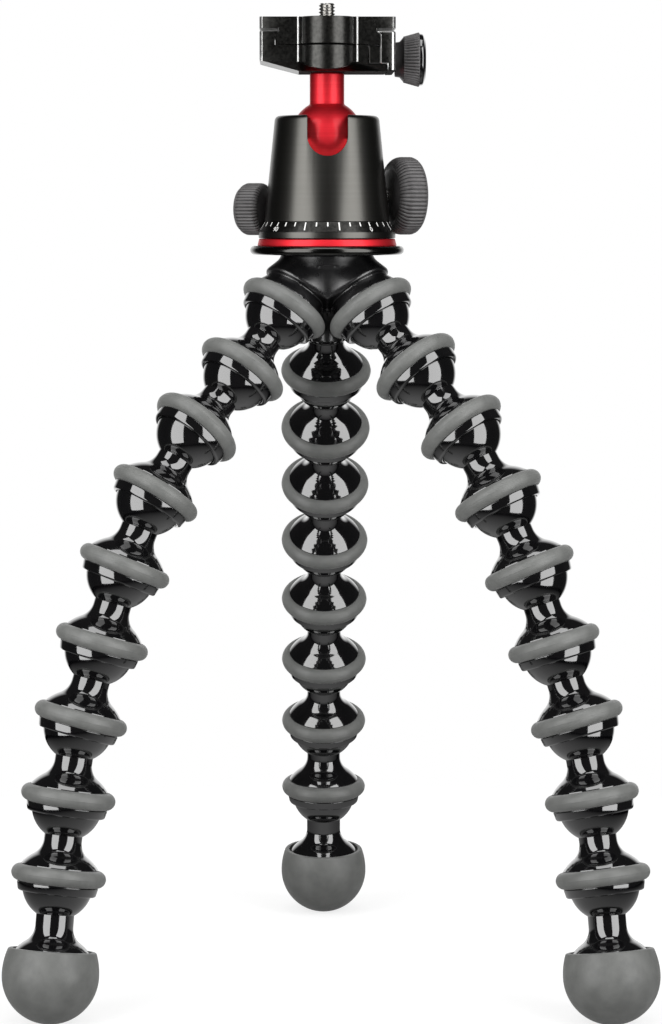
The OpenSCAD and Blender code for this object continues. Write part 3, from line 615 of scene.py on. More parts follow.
# %% Feet
FOOT_LENGTH = 34.2 * MM
FOOT_R = 18.4 * MM
FOOT_DOME_DROP = 3.0 * MM
CORE_R = 14.9 * MM
RIM_H = 9.6 * MM
BOOT_SIDE_R = 27.0 * MM
RIM_EDGE = 0.9 * MM

stem_outline = (ball_to_dome(-FOOT_LENGTH - FOOT_DOME_DROP, CORE_R)
                + arc(0, -FOOT_LENGTH, CORE_R, 0, -90, 16))
foot_stem = lathe("foot_stem", stem_outline, GLOSS_BLACK)
rim_angle = math.degrees(math.asin(RIM_H / BOOT_SIDE_R))
side_arc = arc(FOOT_R - BOOT_SIDE_R, 0, BOOT_SIDE_R, rim_angle, 0, 8)
bore_r = CORE_R + GRIP_GAP
boot_outline = rounded([(0, -bore_r, 0)] + plain(arc(0, 0, bore_r, -88, 0, 16))
                       + [(bore_r, RIM_H, 0.3 * MM), (*side_arc[0], RIM_EDGE)]
                       + plain(side_arc[1:] + arc(0, 0, FOOT_R, -2, -90, 30)))


def press_flat(piece):
    """Presses what lies below the table up to its face."""
    inverse = piece.matrix_world.inverted()
    for vertex in piece.data.vertices:
        spot = piece.matrix_world @ vertex.co
        if spot.z < 0:
            spot.z = 0
            vertex.co = inverse @ spot


for side in SIDES:
    top = ball_centre(side, LINKS + 1)
    sole = Vector(MOUNTS[f"{side}_sole"]["pos_m"])
    lean = Vector((sole.x - top.x, sole.y - top.y, 0)).length
    up = (top - Vector((sole.x, sole.y, top.z - math.sqrt(FOOT_LENGTH ** 2 - lean ** 2)))).normalized()
    stem = copy_of(f"{side}_foot_core", foot_stem)
    dress(place(stem, top, up), f"{side}_foot", "gloss_black", f"{side}_foot_stem")
    boot = place(lathe(f"{side}_foot_boot", boot_outline, GRIP_RUBBER), top - up * FOOT_LENGTH, up)
    press_flat(boot)
    dress(boot, f"{side}_foot", "grip_rubber", f"{side}_rubber_foot")
    print(side, "foot leans", round(math.degrees(up.angle(Vector((0, 0, 1)))), 2))
bpy.data.objects.remove(foot_stem)

# %% [markdown]
# The hub is the hardest form: three sockets that melt into a waisted middle with soft valleys between
# them. Booleans of plain solids would leave hard seams. A blended distance field gives the valleys at
# once: each solid is a distance to an outline, and the nearest ones are merged with a rounding. The
# field is then meshed on a grid, with every vertex pulled exactly onto the surface.

# %% Distance fields
PULLS = 8


def outline_distance(outline, r, z):
    """Signed distance from points (r, z) to a closed outline, negative inside."""
    nearest = np.full(r.shape, np.inf)
    sign = np.ones(r.shape)
    for (r0, z0), (r1, z1) in zip(outline, outline[1:] + outline[:1]):
        er, ez, wr, wz = r1 - r0, z1 - z0, r - r0, z - z0
        t = np.clip((wr * er + wz * ez) / (er * er + ez * ez), 0, 1)
        nearest = np.minimum(nearest, (wr - t * er) ** 2 + (wz - t * ez) ** 2)
        above, below, left = z >= z0, z < z1, er * wz > ez * wr
        sign = np.where((above & below & left) | ~(above | below | left), -sign, sign)
    return sign * np.sqrt(nearest)


def turned(half):
    """Closed outline of a turned solid from its right half, which starts and ends on the axis."""
    return half + [(-r, z) for r, z in reversed(half) if r > 0]


def merge(first, second, soft):
    """Union of two distances with a rounding of about the given size in the valley."""
    blend = np.maximum(soft - np.abs(first - second), 0) / soft
    return np.minimum(first, second) - blend * blend * soft / 4


def field_slope(field, points, step):
    columns = []
    for axis in np.eye(3) * step:
        columns.append((field(points + axis) - field(points - axis)) / (2 * step))
    return np.stack(columns, -1)


def field_mesh(name, field, low, high, step, material):
    axes = [np.arange(a, b + step, step) for a, b in zip(low, high)]
    corners = np.stack(np.meshgrid(*axes, indexing="ij"), -1)
    inside = field(corners.reshape(-1, 3)).reshape(corners.shape[:3]) < 0
    cells = sum(inside[i:inside.shape[0] - 1 + i, j:inside.shape[1] - 1 + j, k:inside.shape[2] - 1 + k]
                .astype(int) for i in (0, 1) for j in (0, 1) for k in (0, 1))
    crossed = (cells > 0) & (cells < 8)
    number = np.full(cells.shape, -1)
    number[crossed] = np.arange(crossed.sum())
    verts = corners[:-1, :-1, :-1][crossed] + step / 2
    for _ in range(PULLS):
        slope = field_slope(field, verts, step / 20)
        size = np.maximum((slope * slope).sum(-1, keepdims=True), 0.05)
        verts = verts - field(verts)[:, None] * slope / size
    faces = []
    for axis in range(3):
        first = np.moveaxis(inside, axis, 0)
        grid = np.moveaxis(number, axis, 0)
        change = np.argwhere(first[:-1, 1:-1, 1:-1] != first[1:, 1:-1, 1:-1])
        for a, b, c in change:
            faces.append([int(grid[a, b, c]), int(grid[a, b + 1, c]),
                          int(grid[a, b + 1, c + 1]), int(grid[a, b, c + 1])])
    return mesh_piece(name, verts, faces, [material], sharp=math.radians(50))


print("field meshing ready")

# %% Hub body
HUB_COLLAR_R, HUB_COLLAR_H = 17.5 * MM, 3.4 * MM
WAIST_R, WEB_R, WEB_H = 15.6 * MM, 21.0 * MM, 20.0 * MM
CORE_TOP_R, CORE_LOW_R, CORE_H = 9.0 * MM, 6.0 * MM, 34.0 * MM
CAP_S = 12.0 * MM
LOBE_LOW_R, LOBE_R, LOBE_S = 14.2 * MM, 10.4 * MM, 23.0 * MM
NECK_LOW_R, NECK_TOP_R = 14.8 * MM, 11.2 * MM
HUB_SOFT, COLLAR_SOFT, NECK_SOFT = 5.0 * MM, 2.4 * MM, 1.0 * MM
RIM_SOFT, EDGE_SOFT = 1.6 * MM, 0.5 * MM
HUB_STEP = 0.5 * MM
SOCKET_LEAN = math.radians(37)

hub_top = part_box("pan_base")[0].z
ring_high = RING_RISE + RING_TUBE_R + GRIP_GAP
collar_half = [(0, hub_top + MM), (HUB_COLLAR_R, hub_top + MM), (HUB_COLLAR_R, hub_top - HUB_COLLAR_H),
               (0, hub_top - HUB_COLLAR_H)]
web_half = [(0, hub_top), (WAIST_R, hub_top), (WEB_R, hub_top - WEB_H), (0, hub_top - WEB_H)]
core_half = [(0, hub_top - HUB_COLLAR_H), (CORE_TOP_R, hub_top - HUB_COLLAR_H),
             (CORE_LOW_R, hub_top - CORE_H), (0, hub_top - CORE_H)]
lobe_half = [(0, 0), (LOBE_LOW_R, 0), (LOBE_LOW_R, CAP_S), (LOBE_R, LOBE_S), (0, LOBE_S)]
neck_half = [(0, 0), (NECK_LOW_R, 0), (NECK_LOW_R, ring_high), (NECK_TOP_R, CAP_S + MM), (0, CAP_S + MM)]
ring_room = [(0, -RING_R), (RING_R, -RING_R), (RING_R, ring_high), (0, ring_high)]


def socket_axis(side):
    centre = ball_centre(side, 1)
    outward = Vector((centre.x, centre.y, 0)).normalized()
    return centre, Vector((0, 0, math.cos(SOCKET_LEAN))) - outward * math.sin(SOCKET_LEAN)


SOCKETS = {side: socket_axis(side) for side in SIDES}


def hub_field(points):
    """The cap above the sockets, cut off square to each leg, then the necks, the core and the hollows."""
    r, z = np.hypot(points[:, 0], points[:, 1]), points[:, 2]
    legs = []
    for centre, up in SOCKETS.values():
        offset = points - np.array(centre)
        s = offset @ np.array(up)
        legs.append((np.sqrt(np.maximum((offset * offset).sum(-1) - s * s, 0)), s))
    solid = outline_distance(turned(web_half), r, z)
    for leg in legs:
        solid = merge(solid, outline_distance(turned(lobe_half), *leg), HUB_SOFT)
    solid = merge(solid, outline_distance(turned(collar_half), r, z), COLLAR_SOFT)
    for _, s in legs:
        solid = -merge(-solid, s - CAP_S, RIM_SOFT)
    solid = merge(solid, outline_distance(turned(core_half), r, z), NECK_SOFT)
    for leg in legs:
        solid = merge(solid, outline_distance(turned(neck_half), *leg), NECK_SOFT)
    rooms = [hub_top - z]
    for leg_r, s in legs:
        rooms += [outline_distance(turned(ring_room), leg_r, s), np.hypot(leg_r, s) - SOCKET_R]
    for room_distance in rooms:
        solid = -merge(-solid, room_distance, EDGE_SOFT)
    return solid


hub_low, hub_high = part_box("hub")
hub_body = field_mesh("hub_body", hub_field, hub_low - Vector((1, 1, 1)) * MM,
                      hub_high + Vector((1, 1, 1)) * MM, HUB_STEP, SATIN_BLACK)
dress(hub_body, "hub", "gloss_black", "hub")
print("hub body", len(hub_body.data.vertices), "vertices")

# %% Hub sockets
inner_angle = math.degrees(math.asin(ring_high / SOCKET_R))
bell_outline = rounded([(SEAT_R, ring_high, 0)] + socket_mouth(0, inner_angle))
for side, (centre, up) in SOCKETS.items():
    bell = lathe(f"{side}_hub_socket", bell_outline, GLOSS_BLACK, closed=True)
    dress(place(bell, centre, up), "hub", "gloss_black", "hub")
    ring = copy_of(f"{side}_hub_ring", grip_ring)
    dress(place(ring, centre + up * RING_RISE, up), "hub", "grip_rubber", "hub_grip_rings")
bpy.data.objects.remove(grip_ring)
print("hub sockets", len(SOCKETS))

# %% [markdown]
# The fixed foot of the head is a stack of turned rings: a dark base disc, a red trim ring and the scale
# ring that pans with the head. Their edges are broken with small arcs, because a perfectly sharp edge
# catches no light and looks unreal.

# %% Base disc and trim ring
BASE_R, BASE_H = 30.0 * MM, 3.4 * MM
SPINDLE_R, DRUM_THREAD_R = 10.0 * MM, 6.0 * MM
DRUM_LOW, DRUM_H = 13.4 * MM, 5.0 * MM
TRIM_R, TRIM_H, TRIM_LEAN = 27.2 * MM, 2.7 * MM, 0.7 * MM
TRIM_BORE_R = 18.8 * MM


def on_head(piece, height=0.0):
    piece.location = (0, 0, hub_top + height)
    bpy.context.view_layer.update()
    return piece


half = BASE_H / 2
base_outline = ([(0, 0)] + arc(BASE_R - half, half, half, -90, 90, 14)
                + [(SPINDLE_R, BASE_H), (SPINDLE_R, DRUM_LOW), (DRUM_THREAD_R, DRUM_LOW),
                   (DRUM_THREAD_R, DRUM_LOW + DRUM_H), (0, DRUM_LOW + DRUM_H)])
dress(on_head(lathe("base_disc", base_outline, DARK_ANODISED, turns=160)), "hub", "gunmetal", "pan_base")
trim_outline = rounded([(TRIM_BORE_R, 0, 0), (TRIM_R, 0, 0.3 * MM), (TRIM_R - TRIM_LEAN, TRIM_H, 0.35 * MM),
                        (TRIM_BORE_R, TRIM_H, 0)])
trim = lathe("red_trim", trim_outline, RED_ANODISED, closed=True, turns=160)
dress(on_head(trim, BASE_H), "hub", "red_anodised", "trim_ring")
print("base and trim", round(hub_top, 4))

# %% Scale ring
SCALE_LOW = 6.3 * MM
SCALE_LIP_R, SCALE_LIP_H = 26.7 * MM, 2.6 * MM
SCALE_BAND_H = 3.9 * MM
HOUSING_LOW_R = 24.4 * MM
SKIRT_R = 22.0 * MM
scale_top = SCALE_LIP_H + SCALE_BAND_H


def paint(piece, material, wanted):
    """Gives another finish to the faces whose centre and normal are wanted."""
    piece.data.materials.append(material)
    last = len(piece.data.materials) - 1
    for face in piece.data.polygons:
        if wanted(face.center, face.normal):
            face.material_index = last
    return piece


scale_outline = rounded([(SKIRT_R, 0, 0), (SCALE_LIP_R, 0, 0.4 * MM), (SCALE_LIP_R, SCALE_LIP_H, 0.5 * MM),
                         (HOUSING_LOW_R, scale_top, 0), (SKIRT_R, scale_top, 0)])
scale = lathe("pan_scale", scale_outline, BLACK_ANODISED, closed=True, turns=160)
paint(scale, GUNMETAL, lambda centre, normal: centre.z < SCALE_LIP_H - 0.2 * MM)
dress(on_head(scale, SCALE_LOW), "head", "black_anodised", "scale_ring")
print("scale ring top", round(SCALE_LOW + scale_top, 4))

# %% [markdown]
# White marks are filled into the sloped band every ten degrees, longer ones every thirty, and small
# numbers every ninety. A texture could carry them, but real marks stay crisp in any view. Each is laid
# out flat, as a distance round the ring and a distance down the slope, and then wrapped onto the cone.

# %% Scale marks
MARK_PROUD = 0.02 * MM
MARK_W = 0.48 * MM
SHORT_MARK, LONG_MARK = 2.0 * MM, 3.7 * MM
MARK_TOP = 0.25 * MM
NUMBER_H = 1.9 * MM
NUMBER_DOWN = 2.3 * MM
SCALE_ZERO = 40
slope = Vector((SCALE_LIP_R - HOUSING_LOW_R, -SCALE_BAND_H)).normalized()


def on_cone(round_mm, down, degrees):
    """Point of the sloped band, from a distance beside a direction and a distance down the slope."""
    radius = HOUSING_LOW_R + slope.x * down - slope.y * MARK_PROUD
    angle = math.radians(degrees - 90) + round_mm / radius
    height = scale_top + slope.y * down + slope.x * MARK_PROUD
    return (radius * math.cos(angle), radius * math.sin(angle), height)


def flat_text(text):
    """Vertices and faces of a line of text, centred, one unit high."""
    curve = bpy.data.curves.new("digits", "FONT")
    curve.body = text
    curve.align_x = "CENTER"
    holder = bpy.data.objects.new("digits", curve)
    mesh = bpy.data.meshes.new_from_object(holder)
    verts = [tuple(v.co) for v in mesh.vertices]
    faces = [tuple(p.vertices) for p in mesh.polygons]
    height = max(y for _, y, _ in verts)
    for block, data in ((bpy.data.objects, holder), (bpy.data.curves, curve), (bpy.data.meshes, mesh)):
        block.remove(data)
    return [(x / height, y / height) for x, y, _ in verts], faces


verts, faces = [], []
for degrees in range(0, 360, 10):
    length = LONG_MARK if degrees % 30 == 0 and degrees % 90 else SHORT_MARK
    start = len(verts)
    for down in (MARK_TOP, length):
        verts += [on_cone(side * MARK_W / 2, down, SCALE_ZERO - degrees) for side in (-1, 0, 1)]
    faces += [[start + k, start + k + 1, start + k + 4, start + k + 3] for k in (0, 1)]
    if degrees % 90 == 0:
        points, outlines = flat_text(str(degrees))
        start = len(verts)
        verts += [on_cone(x * NUMBER_H, NUMBER_DOWN + (1 - y) * NUMBER_H, SCALE_ZERO - degrees)
                  for x, y in points]
        faces += [[start + k for k in face] for face in outlines]
marks = mesh_piece("scale_marks", verts, faces, [MARK_PAINT])
dress(on_head(marks, SCALE_LOW), "head", "black_anodised", "scale_ring")
print("marks", len(faces), "faces")

# %% [markdown]
# The housing is a tapered cup, turned and then slotted at the front so that the stem can drop level. It is
# spun as one closed wall with its bore and the seat above the ball, and the slot is cut by a Boolean with
# a U-shaped bar. A fine bevel breaks the edges of the slot.

# %% Solid helpers


def settle(piece, sharp=SHARP):
    """Replaces a piece's mesh by what its modifiers make of it."""
    bpy.context.view_layer.update()
    solid = piece.evaluated_get(bpy.context.evaluated_depsgraph_get())
    mesh = bpy.data.meshes.new_from_object(solid)
    piece.modifiers.clear()
    piece.data = mesh
    mesh.shade_smooth()
    mesh.set_sharp_from_angle(angle=sharp)
    return piece


def combine(piece, tool, operation):
    change = piece.modifiers.new("combine", "BOOLEAN")
    change.operation = operation
    change.solver = "EXACT"
    change.object = tool
    settle(piece)
    bpy.data.objects.remove(tool)
    return piece


def break_edges(piece, width, edge_material=None, segments=1, angle=35):
    bevel = piece.modifiers.new("edges", "BEVEL")
    bevel.width = width
    bevel.segments = segments
    bevel.limit_method = "ANGLE"
    bevel.angle_limit = math.radians(angle)
    if edge_material:
        piece.data.materials.append(edge_material)
        bevel.material = len(piece.data.materials) - 1
    return settle(piece)


def bar(name, outline, near, far, material):
    """Solid bar along Y with an outline of (x, z) points."""
    count = len(outline)
    verts = [(x, y, z) for y in (near, far) for x, z in outline]
    faces = [[i, (i + 1) % count, count + (i + 1) % count, count + i] for i in range(count)]
    return mesh_piece(name, verts, faces + [list(range(count)), list(range(count, 2 * count))], [material])


def drum(name, radius, low, high, x, y, material):
    """Upright round solid."""
    piece = lathe(name, [(0, low), (radius, low), (radius, high), (0, high)], material, turns=128)
    piece.data.transform(Matrix.Translation((x, y, 0)))
    return piece


# %% Housing
PAN_LOW = 6.2 * MM
HOUSING_LOW = 12.8 * MM
HOUSING_TOP = 53.7 * MM
HOUSING_TOP_R = 20.2 * MM
HOUSING_EDGE = 2.0 * MM
PLUG_R, PLUG_TOP = 19.52 * MM, 13.3 * MM
SEAT_BORE_R = 15.6 * MM
HEAD_BALL_R = 14.0 * MM
BALL_GAP = 0.15 * MM
NOTCH_R = 7.85 * MM
NOTCH_EDGE = 0.6 * MM
ball_height = joint_place("ball_tilt").z - hub_top

cup_r = HEAD_BALL_R + BALL_GAP
lip_angle = math.degrees(math.asin((HOUSING_TOP - ball_height) / cup_r))
cup = arc(0, ball_height, cup_r, lip_angle, 0, 14)
housing_outline = rounded([(PLUG_R, PAN_LOW, 0), (SKIRT_R, PAN_LOW, 0), (SKIRT_R, HOUSING_LOW, 0),
                           (HOUSING_LOW_R, HOUSING_LOW, 0.3 * MM), (HOUSING_TOP_R, HOUSING_TOP, HOUSING_EDGE),
                           (*cup[0], 0.4 * MM)] + plain(cup[1:])
                          + [(SEAT_BORE_R, ball_height, 0), (SEAT_BORE_R, PLUG_TOP, 0),
                             (PLUG_R, PLUG_TOP, 0)])
housing = lathe("housing", housing_outline, GUNMETAL, closed=True, turns=160)
notch = arc(0, ball_height, NOTCH_R, 180, 360, 32)
notch = notch + [(NOTCH_R, HOUSING_TOP + NOTCH_R), (-NOTCH_R, HOUSING_TOP + NOTCH_R)]
combine(housing, bar("notch", notch, -2 * HOUSING_LOW_R, -1 * MM, GUNMETAL), "DIFFERENCE")
break_edges(housing, NOTCH_EDGE, segments=3, angle=50)
dress(on_head(housing), "head", "gunmetal", "head_housing")
print("housing", len(housing.data.polygons), "faces")

# %% [markdown]
# Ball and stem are one red turned piece. A small hollow joins them, and the stem's end is chamfered where
# the clamp sits on it.

# %% Ball and stem
STEM_R = 6.7 * MM
STEM_HOLLOW = 1.0 * MM
STEM_CHAMFER = 0.5 * MM
stem_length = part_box("ball_and_stem")[1].z - hub_top - ball_height
hollow_r = STEM_R + STEM_HOLLOW
hollow_z = math.sqrt((HEAD_BALL_R + STEM_HOLLOW) ** 2 - hollow_r ** 2)
touch = math.degrees(math.atan2(hollow_z, hollow_r))
ball_outline = (arc(0, 0, HEAD_BALL_R, -90, touch, 44)
                + arc(hollow_r, hollow_z, STEM_HOLLOW, 180 + touch, 180, 6)
                + [(STEM_R, stem_length - STEM_CHAMFER), (STEM_R - STEM_CHAMFER, stem_length),
                   (0, stem_length)])
ball = on_head(lathe("red_ball", ball_outline, RED_ANODISED, turns=128), ball_height)
dress(ball, "ball", "red_anodised", "ball_and_stem")
print("ball centre", round(hub_top + ball_height, 4))

# %% [markdown]
# The lock knobs have a smooth dark back and a rubber rim whose ribs run over a round shoulder. The ribs are
# real geometry: each row of the knob is a circle whose radius dips once per rib, and the dip fades to
# nothing towards the ends of the rim. The groove floors get a darker finish, which is painted shade.

# %% Ribbed knobs
RIB_DEPTH = 0.5 * MM
RIB_SHAPE = 1.4
PER_RIB = 8
SHADED_GROOVE_SPOKES = (3, 4)


def ribbed(name, rows, ribs, materials):
    """Turned piece with ribs, from rows of (height, radius, rib depth); the second finish paints shade in the
    grooves.
    """
    count = ribs * PER_RIB
    dips = [(0.5 - 0.5 * math.cos(2 * math.pi * k / PER_RIB)) ** RIB_SHAPE for k in range(PER_RIB)]
    verts, faces, slots, rings = [], [], [], []
    for height, radius, depth in rows:
        size = count if radius > 0 else 1
        rings.append(range(len(verts), len(verts) + size))
        for i in range(size):
            angle = 2 * math.pi * i / count
            r = radius - depth * dips[i % PER_RIB]
            verts.append((r * math.cos(angle), r * math.sin(angle), height))
    for k in range(len(rows) - 1):
        grooved = rows[k][2] > 0 and rows[k + 1][2] > 0
        faces += band(rings[k], rings[k + 1], count)
        # Groove floors take the second finish, which is painted shade.
        slots += [1 if grooved and i % PER_RIB in SHADED_GROOVE_SPOKES else 0 for i in range(count)]
    return mesh_piece(name, verts, faces, materials, slots, sharp=math.radians(55))


# %% Lock knobs
KNOB_START = 24.8 * MM
KNOB_LENGTHS = {"main": 13.0 * MM, "pan": 12.0 * MM}
BACK_H = 1.6 * MM
CROWN_H = 1.6 * MM
CROWN_DISH = 0.5 * MM
SHOULDER_STEPS = 9


def lock_knob_rows(radius, neck, length, crown_r, back_r, shoulder_h):
    """Rows from the neck at the housing over the ribbed shoulder and rim to the dished crown."""
    rim_end = length - CROWN_H
    rows = [(0, 0, 0), (0, neck, 0), (BACK_H, back_r, 0)]
    for k in range(SHOULDER_STEPS + 1):
        angle = math.pi / 2 * k / SHOULDER_STEPS
        height = BACK_H + shoulder_h * (1 - math.cos(angle))
        rows.append((height, back_r + (radius - back_r) * math.sin(angle), RIB_DEPTH * min(1, 0.3 + k / 4)))
    rows += [(rim_end - 1.2 * MM, radius, RIB_DEPTH), (rim_end, radius - 0.5 * MM, 0.5 * RIB_DEPTH),
             (rim_end + 0.5 * CROWN_H, radius - 1.3 * MM, 0), (length - 0.1 * CROWN_H, crown_r + 0.7 * MM, 0)]
    return rows + [(length, crown_r, 0), (length, crown_r - 1.4 * MM, 0),
                   (length - CROWN_DISH, crown_r - 2.0 * MM, 0), (length - CROWN_DISH, 0, 0)]


for name, radius, neck, crown_r, back_r, shoulder_h, ribs in (
        ("main", 15.2 * MM, 7.6 * MM, 11.4 * MM, 10.6 * MM, 4.6 * MM, 56),
        ("pan", 10.2 * MM, 5.1 * MM, 7.7 * MM, 8.2 * MM, 2.2 * MM, 44)):
    centre = (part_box(f"{name}_lock_knob")[0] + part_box(f"{name}_lock_knob")[1]) / 2
    outward = Vector((centre.x, centre.y, 0)).normalized()
    rows = lock_knob_rows(radius, neck, KNOB_LENGTHS[name], crown_r, back_r, shoulder_h)
    knob = ribbed(f"{name}_knob", rows, ribs, [KNOB_GRIP, KNOB_SHADE])
    paint(knob, KNOB_BACK, lambda middle, normal: middle.z < BACK_H)
    place(knob, outward * KNOB_START + Vector((0, 0, joint_place(f"{name}_lock_turn").z)), outward)
    dress(knob, f"{name}_lock", "knob_grip", f"{name}_lock_knob")
    print(name, "knob", len(knob.data.vertices), "vertices")

# %% [markdown]
# Clamp, jaw and plate are bars sawn from an extrusion, with a round boss milled at the front and back.
# Bars, bosses and cuts are joined by Booleans, and one bevel then breaks every edge. The broken edges get
# a bright metal finish as painted highlight, except low down, at the parting and on top. All heights come
# from the frame.

# %% Clamp body
CLAMP_W, CLAMP_L = 26.0 * MM, 21.0 * MM
BOSS_R, BOSS_Y = 10.5 * MM, 17.0 * MM
BOSS_ARC_R, BOSS_LIFT, BOSS_GAP = 24.0 * MM, 0.6 * MM, 0.25 * MM
SLIDE_GAP = 0.3 * MM
FLAT_W, JAW_SLOPE_H, EDGE_SLOPE_H = 11.0 * MM, 4.0 * MM, 3.4 * MM
RECESS_X, LEDGE_H, LEDGE_W = 15.5 * MM, 2.4 * MM, 22.6 * MM
DOVETAIL_W, DOVETAIL_LIP = 20.0 * MM, 1.4 * MM
EDGE_W, CORNER_W = 0.4 * MM, 1.1 * MM
BEAD_X, BEAD_R = 11.3 * MM, 0.42 * MM


def height_of(node, top):
    """Height of a solid's lowest or highest point above the hub."""
    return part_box(node)[1 if top else 0].z - hub_top


clamp_low, jaw_top = height_of("clamp_body", False), height_of("clamp_jaw", True)
plate_low, plate_top = height_of("quick_release_plate", False), height_of("quick_release_plate", True)
jaw_face = DOVETAIL_W + SLIDE_GAP
lip_low = jaw_top - DOVETAIL_LIP
clamp_top = plate_low - SLIDE_GAP


def bosses(low, high, arc_low=None):
    """Pair of round bosses, with a rounded underside if its lowest height is given."""
    pair = []
    for y in (-BOSS_Y, BOSS_Y):
        boss = drum("boss", BOSS_R, low, high, 0, y, BLACK_ANODISED)
        if arc_low is not None:
            curve = arc(0, arc_low + BOSS_ARC_R, BOSS_ARC_R, 0, 360, 128)[:-1]
            combine(boss, bar("curve", curve, -2 * CLAMP_L, 2 * CLAMP_L, BLACK_ANODISED), "INTERSECT")
        pair.append(boss)
    return pair


def trim_corners(piece, low, high):
    """Takes the four upright corners off a block as wide and long as the clamp."""
    wide, long, cut = CLAMP_W, CLAMP_L, CORNER_W
    plan = [(wide, long - cut), (wide - cut, long), (cut - wide, long), (-wide, long - cut),
            (-wide, cut - long), (cut - wide, -long), (wide - cut, -long), (wide, cut - long)]
    count = len(plan)
    verts = [(x, y, z) for z in (low - MM, high + MM) for x, y in plan]
    sides = [[i, (i + 1) % count, count + (i + 1) % count, count + i] for i in range(count)]
    ends = [list(range(count)), list(range(count, 2 * count))]
    tool = mesh_piece("plan", verts, sides + ends, [BLACK_ANODISED])
    return combine(piece, tool, "INTERSECT")


def bare(piece):
    """Paints highlight as bright metal on the upright corners, the beads beside the bosses and the side
    slots, and shade as matt black under the bottom; keeps black low down, at the parting and on top.
    """
    paint(piece, BLACK_ANODISED, lambda middle, normal: middle.z < clamp_low + MM
          or clamp_top - MM < middle.z < plate_low + MM or middle.z > plate_top - 0.6 * MM)

    def wanted(middle, normal):
        corner = abs(normal.x) > 0.4 and abs(normal.y) > 0.4 and abs(middle.x) > CLAMP_W - 1.4 * CORNER_W
        bead = abs(abs(middle.x) - BEAD_X) < 1.2 * BEAD_R and abs(middle.y) > CLAMP_L - 0.02 * MM
        outside = abs(middle.x) > DOVETAIL_W
        slot = outside and abs(normal.z) > 0.9 and jaw_top - 0.1 * MM < middle.z < plate_top - MM
        return corner or bead or slot

    # Painted highlight: bright metal on the upright corners, the beads and the side slots.
    paint(piece, EDGE_HIGHLIGHT, wanted)
    # Painted shade: matt black on the downward faces at the bottom.
    return paint(piece, UNDERSIDE_SHADE, lambda middle, normal: normal.z < -0.6 and middle.z < clamp_low + MM)


def beads(piece, low, high):
    """Thin upright beads on both sides of each boss."""
    for x in (-BEAD_X, BEAD_X):
        for y in (-CLAMP_L, CLAMP_L):
            combine(piece, drum("bead", BEAD_R, low, high, x, y, BLACK_ANODISED), "UNION")
    return piece


clamp_outline = [(-FLAT_W, clamp_low), (LEDGE_W, clamp_low), (LEDGE_W, clamp_low + LEDGE_H),
                 (RECESS_X, clamp_low + LEDGE_H), (RECESS_X, clamp_top), (-jaw_face, clamp_top),
                 (-jaw_face, lip_low), (-jaw_face + DOVETAIL_LIP, jaw_top), (-CLAMP_W, jaw_top),
                 (-CLAMP_W, clamp_low + JAW_SLOPE_H)]
clamp = trim_corners(bar("clamp", clamp_outline, -CLAMP_L, CLAMP_L, BLACK_ANODISED), clamp_low, jaw_top)
for y in (-CLAMP_L, CLAMP_L):
    wedge = [(y - EDGE_SLOPE_H, clamp_low), (y, clamp_low - EDGE_SLOPE_H), (y + EDGE_SLOPE_H, clamp_low),
             (y, clamp_low + EDGE_SLOPE_H)]
    tool = bar("wedge", wedge, -2 * CLAMP_W, 2 * CLAMP_W, BLACK_ANODISED)
    tool.data.transform(Matrix.Rotation(math.pi / 2, 4, "Z"))
    combine(clamp, tool, "DIFFERENCE")
beads(clamp, clamp_low + EDGE_SLOPE_H, clamp_top)
for boss in bosses(clamp_low, clamp_top - BOSS_GAP, clamp_low + BOSS_LIFT):
    combine(clamp, boss, "UNION")
# The bevels take the bright edge finish, which is a painted highlight.
bare(break_edges(clamp, EDGE_W, EDGE_HIGHLIGHT))
dress(on_head(clamp), "clamp", "black_anodised", "clamp_body")
print("clamp", len(clamp.data.polygons), "faces")

# %% Moving jaw
TONGUE_L, TONGUE_H, TONGUE_HALF_L = 4.4 * MM, 6.8 * MM, 20.0 * MM
jaw_low = clamp_low + LEDGE_H + SLIDE_GAP
jaw_foot = LEDGE_W + SLIDE_GAP
jaw_outline = [(jaw_face, jaw_low), (jaw_foot, jaw_low), (jaw_foot, clamp_low), (CLAMP_W, clamp_low),
               (CLAMP_W, jaw_top), (jaw_face - DOVETAIL_LIP, jaw_top), (jaw_face, lip_low)]
tongue_outline = [(jaw_face - TONGUE_L, jaw_low), (jaw_face + SLIDE_GAP, jaw_low),
                  (jaw_face + SLIDE_GAP, jaw_low + TONGUE_H), (jaw_face - TONGUE_L, jaw_low + TONGUE_H)]
jaw = trim_corners(bar("jaw", jaw_outline, -CLAMP_L, CLAMP_L, BLACK_ANODISED), clamp_low, jaw_top)
combine(jaw, bar("tongue", tongue_outline, -TONGUE_HALF_L, TONGUE_HALF_L, BLACK_ANODISED), "UNION")
# The bevels take the bright edge finish, which is a painted highlight.
bare(break_edges(jaw, EDGE_W, EDGE_HIGHLIGHT))
dress(on_head(jaw), "clamp_jaw", "black_anodised", "clamp_jaw")
print("jaw", len(jaw.data.polygons), "faces")

# %% [markdown]
# The clamp knob has a smooth dark neck, a ribbed cone and a rounded black cap. It uses the ribbed helper
# again, with the cap turned as a piece of its own.

